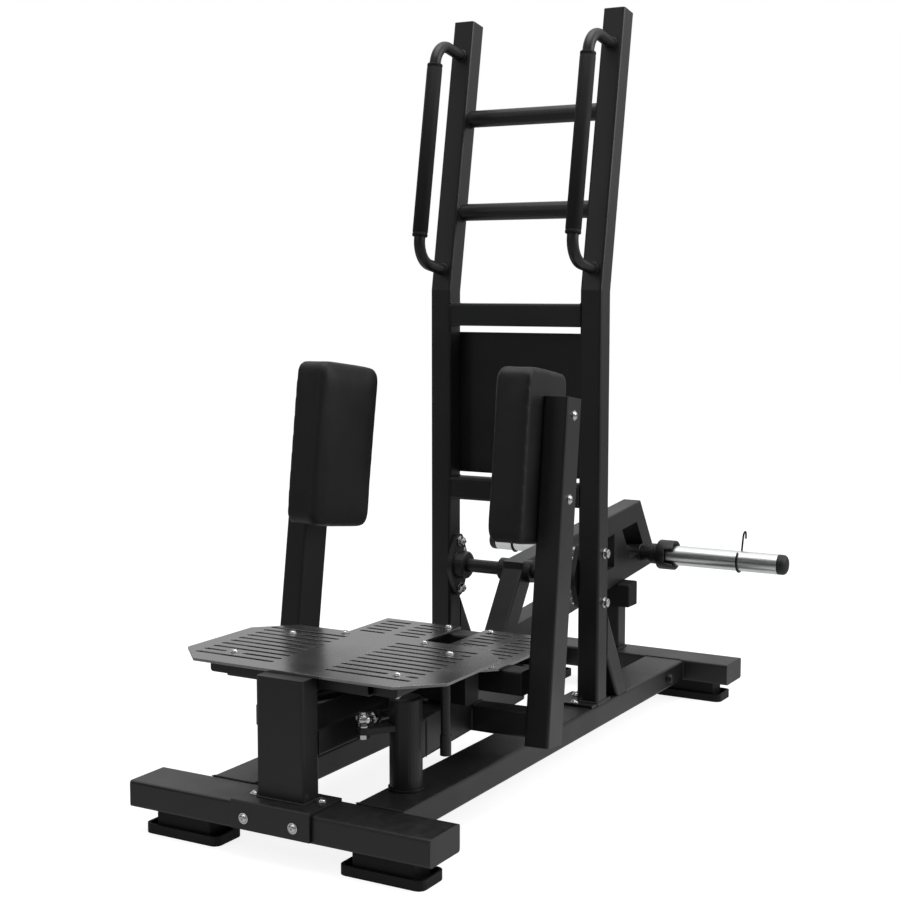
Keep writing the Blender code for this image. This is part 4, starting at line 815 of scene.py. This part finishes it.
bracket = [((-56, -6.3, 73), FORWARD), ((50, -6.3, 73), FORWARD)]
bracket += [((-63, 40, 104.3), UP), ((64, 61, 104.3), UP)]
outer_bolts = [((s * 210, 936, z), (s, 0, 0)) for s in SIGNS for z in BEARING_BOLTS_Z]
inner_nuts = [((s * 147.7, 930, z), (-s, 0, 0)) for s in SIGNS for z in BEARING_BOLTS_Z]
foot_bolts = [((s * x, y, 104.3), UP) for s in SIGNS for x, y in ((162, 893.6), (137, 952))]
top_buttons = [((s * RAIL_X, y, 330), UP) for s in SIGNS for y in RAIL_BOLTS_Y]
top_buttons += [((s * 91, 372, 330), UP) for s in SIGNS]
top_buttons += [((s * x, y, 282), UP) for s in SIGNS for x, y in ((51, 710), (200, 440))]
rail_nuts = [((s * RAIL_X, y, 299.7), DOWN) for s in SIGNS for y in RAIL_BOLTS_Y]
bolted("bracket_bolts", pad_button, bracket)
bolted("bearing_bolts_outer", hex_bolt, outer_bolts)
bolted("bearing_nuts_inner", hex_nut, inner_nuts)
bolted("foot_plate_bolts", pad_button, foot_bolts)
bolted("platform_buttons", small_button, top_buttons)
bolted("rail_nuts", small_nut, rail_nuts)
print("bolts:", len(bracket + outer_bolts + foot_bolts + top_buttons))
print("nuts:", len(inner_nuts + rail_nuts))

# %% [markdown]
# ## Push rods and ball joints
# The push rods are the working heart of the machine. Each has a rod end at both ends: a steel
# ring round a ball that can turn every way, a neck, a lock nut and the long bar. The front ball
# is held by a stud through the arm's lug, and the rear ring rides on the lever's cross pin. All
# of it is turned work and hexagons, laid out in the rod's own axes: first across, second along
# the rod, third up.

# %% Push rods and ball joints
FRONT_EYE = drawn((97, 148, 236))
REAR_EYE = drawn((56, 780, 155))
ROD_LENGTH = np.linalg.norm(REAR_EYE - FRONT_EYE) / MM
RING_ANGLE = math.radians(60)

rod_along = unit(REAR_EYE - FRONT_EYE)
rod_across = unit(np.cross(rod_along, UP))
rod_axes = np.stack([rod_across, rod_along, np.cross(rod_across, rod_along)])


def ring_profile(outer, bore, half):
    """The closed outline of a ring: flat faces at plus and minus half, and an outer wall that is
    a sixth lower at its edges, by one minus the cosine of an angle."""
    turn = np.linspace(-RING_ANGLE, RING_ANGLE, 9)
    reach = outer - 0.16 * outer * (1 - np.cos(turn)) / (1 - math.cos(RING_ANGLE))
    along = 0.94 * half * np.sin(turn) / math.sin(RING_ANGLE)
    shoulder = reach[0] - 0.8
    line = [(-half, bore), (-half, shoulder), *zip(along, reach), (half, shoulder)]
    return [*line, (half, bore), (-half, bore)]


def in_rod(shape, along, order=(1, 2, 0)):
    """Turns a shape drawn along x so that its x, y and z lie on the rod's axes in that order,
    and sets it the given millimetres along the rod."""
    points, faces = shape
    return points @ rod_axes[list(order)] + FRONT_EYE + rod_along * along * MM, faces


def bar(low, high, radius, bevel=0.8):
    """A turned bar along the rod with broken edges."""
    line = [(low, 0), (low, radius - bevel), (low + bevel, radius), (high - bevel, radius)]
    return turned([*line, (high, radius - bevel), (high, 0)], 40)


def nut(flats, low, high):
    """A hexagon along x from low to high, in millimetres."""
    return hexagon_head(flats * MM, low * MM, high * MM)


rod_ends = together([
    in_rod(turned(ring_profile(15, 9.4, 7), 56), 0, (2, 0, 1)),
    in_rod(turned(ring_profile(20, 10.4, 7), 56), ROD_LENGTH, (0, 1, 2)),
    in_rod(bar(12.5, 54, 7.5), 0),
    in_rod(bar(-54, -17.5, 7.5), ROD_LENGTH),
    in_rod(nut(19, 27, 37), 0),
])
rod_bar = together([
    in_rod(nut(20.5, 46, 56), 0),
    in_rod(bar(56.2, ROD_LENGTH - 56.2, 9), 0),
    in_rod(nut(20.5, -56, -46), ROD_LENGTH),
])
both_sides("rod_ends", rod_ends, "{}_rod", "machined_steel", "push_rod", finish="bolt_steel")
both_sides("rod_bar", rod_bar, "{}_rod", "black_coat")
print("push rods:", round(ROD_LENGTH, 1), "mm from eye to eye")

# %% Ball studs
BALL = 11

turn = np.radians(np.linspace(-52, 52, 11))
ball_line = np.stack([BALL * np.sin(turn), BALL * np.cos(turn)], 1)
stud_line = [(-36.5, 0), (-36.5, 5.2), (-35.7, 6), (-26, 6), (-15.2, 6), (-15.2, 9), (-14.4, 9.6)]
stud_line += [(-11, 9.6), (-8.7, 6.8)] + ball_line.tolist()
stud_line += [(8.7, 6.8), (10.2, 6.8), (10.6, 6), (10.6, 0)]
stud = [turned(stud_line, 48, ALONG_Z, FRONT_EYE)]
for points, faces in (nut(19, -35, -26.4), nut(13, 9.4, 13.6)):
    stud.append((points @ ALONG_Z + FRONT_EYE, faces))
ball_stud = together(stud)
both_sides(
    "ball_and_stud", ball_stud, "{}_ball", "machined_steel", "ball_stud", finish="bolt_steel"
)
print("ball studs: ball radius", BALL, "mm,", len(stud_line), "profile points")

# %% [markdown]
# ## Hub tops
# The arm's hub is an open tube over a pivot pin. From above it shows a ring, the tube's own lip,
# with its outer corner broken and a small step down to the bore, which catches the light.

# %% Hub tops
HUB_AT = drawn((145, 215, 0))

lip_line = [(264.1, 22.5), (264.1, 30.4), (264.6, 30.9), (266.8, 30.9), (267.5, 30.2)]
lip_line += [(267.5, 27.2), (266.6, 26.2), (266.6, 22.5), (264.1, 22.5)]
both_sides("hub_lip", turned(lip_line, 72, ALONG_Z, HUB_AT), "{}_arm", "black_coat")
print("hub rings at z", lip_line[3][0] * MM)

# %% [markdown]
# ## Weld beads
# The frame is welded. A bead is a string of small overlapping scales left by the moving arc. It
# is a surface carried along the joint: at each step the section is a circle, half sunk in the
# corner, whose size rises and falls with a rectified sine, and its crown is drawn back so the
# scales look like a row of coins. The coat covers it, so it has the finish of the tube.

# %% Weld beads
BEAD = 2.5 * MM
PITCH = 2.2 * MM
SCALE_LOW, SCALE_WAVE = 0.72, 0.28
BEAD_SHARP = 80


def weld_bead(corners, outward, closed=False):
    """Sections along a line of corners. Height is the bead's size times 0.72 plus 0.28 times the
    absolute sine of the distance over the pitch; the crown of each section lags by a quarter of
    a pitch, times the cosine across it. Open beads taper at both ends."""
    if closed:
        corners = np.concatenate([corners, corners[:1]])
    steps = np.linalg.norm(np.diff(corners, axis=0), axis=1)
    travelled = np.concatenate([[0], np.cumsum(steps)])
    count = max(int(travelled[-1] / (PITCH / 3)), 6)
    distance = np.linspace(0, travelled[-1], count)
    line = np.stack([np.interp(distance, travelled, corners[:, axis]) for axis in range(3)], 1)
    segment = np.clip(np.searchsorted(travelled, distance, side="right") - 1, 0, len(steps) - 1)
    along = (np.diff(corners, axis=0) / steps[:, None])[segment]
    out = np.broadcast_to(np.asarray(outward, float), along.shape)
    out = unit(out - np.sum(out * along, axis=1)[:, None] * along)
    across = np.cross(along, out)
    turn = round_angles(8)[None, :, None]
    scale = BEAD * (SCALE_LOW + SCALE_WAVE * np.abs(np.sin(np.pi * distance / PITCH)))
    if not closed:
        to_end = np.minimum(distance, travelled[-1] - distance)
        scale = scale * np.clip(to_end / (2 * BEAD), 0.25, 1)
    section = np.cos(turn) * out[:, None] + np.sin(turn) * across[:, None]
    points = line[:, None] + scale[:, None, None] * section
    points = points - 0.25 * PITCH * np.cos(turn) * along[:, None]
    return points.reshape(-1, 3), grid_faces(count, turn.size)


def round_weld(centre, radius, axis, outward):
    """A closed bead on a circle: the centre plus the radius times the cosine and the sine of the
    angle, on the two directions that are square to the axis."""
    turn = round_angles(60)[:, None]
    _, second, third = pointing(axis)
    circle = centre + radius * (np.cos(turn) * second + np.sin(turn) * third)
    return weld_bead(circle, outward, True)


def seam(start, end, outward):
    """A straight bead between two drawn points."""
    return weld_bead(drawn([start, end]), outward)


def round_post(x, y, z, half=25):
    """A bead round the foot of a post 50 mm deep whose middle is at the drawn place."""
    corners = [(x + half * right, y + 25 * rear, z) for right, rear in corner_signs]
    return weld_bead(drawn(corners), UP, True)


print("weld bead scale:", BEAD, "m")

# %% [markdown]
# ## Where the welds are
# Every tube that meets another one is welded round. Each weld sits a hair outside the corner,
# and the beads that move with an arm or the lever are pieces of their own.

# %% Welds
BASE_INNER, BASE_OUTER = 110, 210
UPRIGHT_X, UPRIGHT_INNER = 185, 160
SHAFT_Y = 930
RUNGS_Z = (1174, 1384)

frame_welds = [round_post(0, 51, 105, half=50), round_post(0, 1456, 99)]
for side in SIGNS:
    for y, inwards in ((100, 1), (1406, -1)):
        inner, outer = side * BASE_INNER, side * BASE_OUTER
        frame_welds.append(seam((inner, y, 98), (outer, y, 98), (0, inwards, 1)))
        frame_welds.append(seam((outer, y, 50), (outer, y, 97), (side, inwards, 0)))
    frame_welds.append(round_post(side * UPRIGHT_X, SHAFT_Y, 105))
    x, top_x = side * UPRIGHT_INNER, side * (UPRIGHT_INNER - 0.3)
    for low, high in ((531, 579), (922, 970)):
        frame_welds.append(seam((x, 905, low), (x, 905, high), (-side, -1, 0)))
        frame_welds.append(seam((top_x, 906, high + 1), (top_x, 954, high + 1), (-side, 0, 1)))
    for z in RUNGS_Z:
        centre = drawn((side * 159.9, SHAFT_Y + (z - 998) * math.tan(LEAN), z))
        frame_welds.append(round_weld(centre, 19.2 * MM, RIGHTWARDS, (-side, 0, 0)))
    for along in HANDLE_FEET:
        centre = sided(on_upright(along, 0.4), side)
        axis = on_upright(0.0, 1.0) - on_upright(0.0, 0.0)
        frame_welds.append(round_weld(centre, 12.7 * MM, axis, axis))
dressed("frame_welds", together(frame_welds), "frame", "black_coat", sharp=BEAD_SHARP)
print("frame welds:", len(frame_welds), "beads")

# %% [markdown]
# ## Thigh pads
# A pad is vinyl drawn over firm foam on a flat back. The cover is blown up by a short cloth
# simulation: the pad's own solid is made a little smaller, remeshed evenly, pinned at its back
# and given an inner pressure. No point may travel further than a few millimetres, so the faces
# stay nearly flat and the edges round off softly, as firm foam does. One run serves both pads,
# because the left one is its mirror image.

# %% Thigh pads
PAD_VOXEL = 5 * MM
PAD_TRAVEL = 5.5 * MM
PAD_START = 3.0 * MM
BACK_BAND = 7 * MM


def read_array(owner, name, width, kind=float):
    """One value of every vertex, edge or loop of a mesh, as an array of rows."""
    flat = np.empty(len(owner) * width, kind)
    owner.foreach_get(name, flat)
    return flat.reshape(-1, width)


solid = nodes["pad_right"].data.copy()
merge_doubled(solid, 1e-5)
pad_start = read_array(solid.vertices, "co", 3)
pad_centre = (pad_start.max(axis=0) + pad_start.min(axis=0)) / 2
_, _, pad_turn = np.linalg.svd(pad_start - pad_start.mean(axis=0), full_matrices=False)
pad_turn[2] *= np.sign(-pad_turn[2][0])
local = (pad_start - pad_centre) @ pad_turn.T
front, back = local[:, 2].max(), local[:, 2].min()
local[:, 2] = back + (local[:, 2] - back) * (1 - PAD_START / (front - back))
local[:, :2] *= 1 - PAD_START / local[:, :2].max(axis=0)
solid.vertices.foreach_set("co", (local @ pad_turn + pad_centre).ravel())
shaper = linked("pad_shaper", solid)
remesh = shaper.modifiers.new("even_faces", "REMESH")
remesh.mode = "VOXEL"
remesh.voxel_size = PAD_VOXEL
print("pad size:", [round(float(value), 4) for value in np.ptp(local, axis=0)])

# %% [markdown]
# The remeshed pad is stepped through twenty frames. Afterwards only the outward part of each
# point's travel is kept, capped and evened out over its neighbours, because firm foam under
# tight vinyl shows no creases. The modifier goes away with the helper object.

# %% Blow up the pad
PAD_PRESSURE = 4.0
PAD_FRAMES = 20


def as_it_stands(thing):
    """The object with its modifiers worked out."""
    return thing.evaluated_get(bpy.context.evaluated_depsgraph_get())


even = bpy.data.meshes.new_from_object(as_it_stands(shaper))
bpy.data.objects.remove(shaper)
pad_points = read_array(even.vertices, "co", 3)
pad_local = (pad_points - pad_centre) @ pad_turn.T
blower = linked("pad_blower", even)
pinned = np.nonzero(pad_local[:, 2] < back + BACK_BAND)[0]
blower.vertex_groups.new(name="pinned").add(pinned.tolist(), 1.0, "REPLACE")
cloth = blower.modifiers.new("blown_up", "CLOTH").settings
cloth.use_pressure = True
cloth.uniform_pressure_force = PAD_PRESSURE
cloth.vertex_group_mass = "pinned"
cloth.effector_weights.gravity = 0.0
for step in range(1, PAD_FRAMES + 1):
    bpy.context.scene.frame_set(step)
travel = read_array(as_it_stands(blower).to_mesh().vertices, "co", 3) - pad_points
outward = read_array(even.vertices, "normal", 3)
swell = np.clip(np.sum(travel * outward, axis=1), 0, PAD_TRAVEL)
edge_ends = read_array(even.edges, "vertices", 2, int)
print("pad points:", len(pad_points), "mean swell:", round(float(swell.mean()), 4))


# %% Even out the pad
def evened(values, rounds):
    """Each value becomes the mean of itself and its neighbours' mean, as many times as asked."""
    first, second = edge_ends.T
    size = len(even.vertices)
    degree = np.bincount(first, minlength=size) + np.bincount(second, minlength=size)
    for again in range(rounds):
        sums = np.bincount(first, values[second], size) + np.bincount(second, values[first], size)
        values = 0.5 * values + 0.5 * sums / degree
    return values


outward = unit(np.stack([evened(column, 4) for column in outward.T], axis=1))
smooth_start = np.stack([evened(column, 2) for column in pad_points.T], axis=1)
blown_points = smooth_start + outward * evened(swell, 24)[:, None]
bpy.context.scene.frame_set(1)
bpy.data.objects.remove(blower)
print("pad grown by up to", round(float(evened(swell, 24).max()), 4), "m")

# %% [markdown]
# Each pad is the blown-up surface with one level of subdivision on top. The vinyl's fine grain
# comes from its material.

# %% Finished pads
ALL_SMOOTH = 180

pad_faces = read_array(even.loops, "vertex_index", 1, int).reshape(-1, 4)
pad_shape = blown_points, pad_faces
for cover in both_sides("pad_cover", pad_shape, "{}_arm", "pad_cover", "pad", sharp=ALL_SMOOTH):
    finer = cover.modifiers.new("finer", "SUBSURF")
    finer.levels = finer.render_levels = 1
print("pads:", len(pad_faces), "faces each before subdivision")

# %% [markdown]
# ## What moves with an arm
# The pads are held by two bolts through the leg, and the arm itself is welded up from a hub, a
# link, an outrigger and the leaning leg. These places are easiest to give in the arm's own
# axes, which start at the pivot and are turned a few degrees.

# %% Arm bolts and welds
ARM_TURN = math.radians(4)
LEG_LEAN = math.radians(7.7)
LEG_FOOT = np.array([189.9, 251.6, 133])

arm_axes = np.array([
    (math.cos(ARM_TURN), math.sin(ARM_TURN), 0),
    (-math.sin(ARM_TURN), math.cos(ARM_TURN), 0),
    (0, 0, 1),
])
leg_up = np.array([0, math.sin(LEG_LEAN), math.cos(LEG_LEAN)])


def on_arm(points):
    """World points given in the right arm's axes, in millimetres from the pivot on the floor."""
    return np.asarray(points, float) * MM @ arm_axes + HUB_AT


pad_bolts = [on_arm(LEG_FOOT + rise * leg_up) for rise in (473, 634)]
arm_welds = [weld_bead(on_arm([(26, 227, 200.3), (26, 276, 200.3)]), (1, 0, 1))]
for x, y, low, high, outward in (
    (-17.5, 25.5, 150.5, 224, (-1, 1, 0)), (24.8, 32.5, 150.5, 224, (1, 1, 0)),
    (25.4, 276.8, 152, 198, (1, 1, 0)), (25.4, 226.4, 152, 198, (1, -1, 0)),
):
    arm_welds.append(weld_bead(on_arm([(x, y, low), (x, y, high)]), outward))
heads = repeated(pad_button, pad_bolts, [arm_axes[0]] * 2)
both_sides("pad_bolts", heads, "{}_arm", "machined_steel", finish="bolt_steel")
both_sides("arm_welds", together(arm_welds), "{}_arm", "black_coat", sharp=BEAD_SHARP)
print("pad bolts at", np.round(pad_bolts, 3).tolist())

# %% [markdown]
# ## What rocks with the lever, and the last fittings
# The horns' necks are welded to the lever's strut, with a bead all round that rocks with them.
# The bearings stay with the frame and carry a grease nipple each. One bolt head with its washer
# sits on the outer side of each long base tube, coated like the castings.

# %% Lever welds and grease nipples
NECK_AT = 25.4 * MM

lever_welds = [
    round_weld(HORN_AT + [side * NECK_AT, 0, 0], 20.4 * MM, RIGHTWARDS, (side, 0, 0))
    for side in SIGNS
]
dressed("lever_welds", together(lever_welds), "lever", "black_coat", sharp=BEAD_SHARP)
nipple_line = [(0, 0), (0, 3.4), (2.6, 3.4), (2.8, 2.0), (4.2, 1.9), (4.6, 2.6), (5.6, 2.9)]
nipple_line += [(6.8, 2.5), (7.6, 1.4), (7.6, 0)]
nipple_spots = [((side * 137, SHAFT_Y, 409.3), UP) for side in SIGNS]
bolted("grease_nipples", turned(nipple_line, 20), nipple_spots)
side_spots = drawn([(side * 211, 1312, 73) for side in SIGNS])
side_bolts = repeated(hex_bolt, side_spots, [(side, 0, 0) for side in SIGNS])
dressed("base_side_bolts", side_bolts, "frame", "black_cast")
print("lever welds:", len(lever_welds), "nipples:", len(nipple_spots))
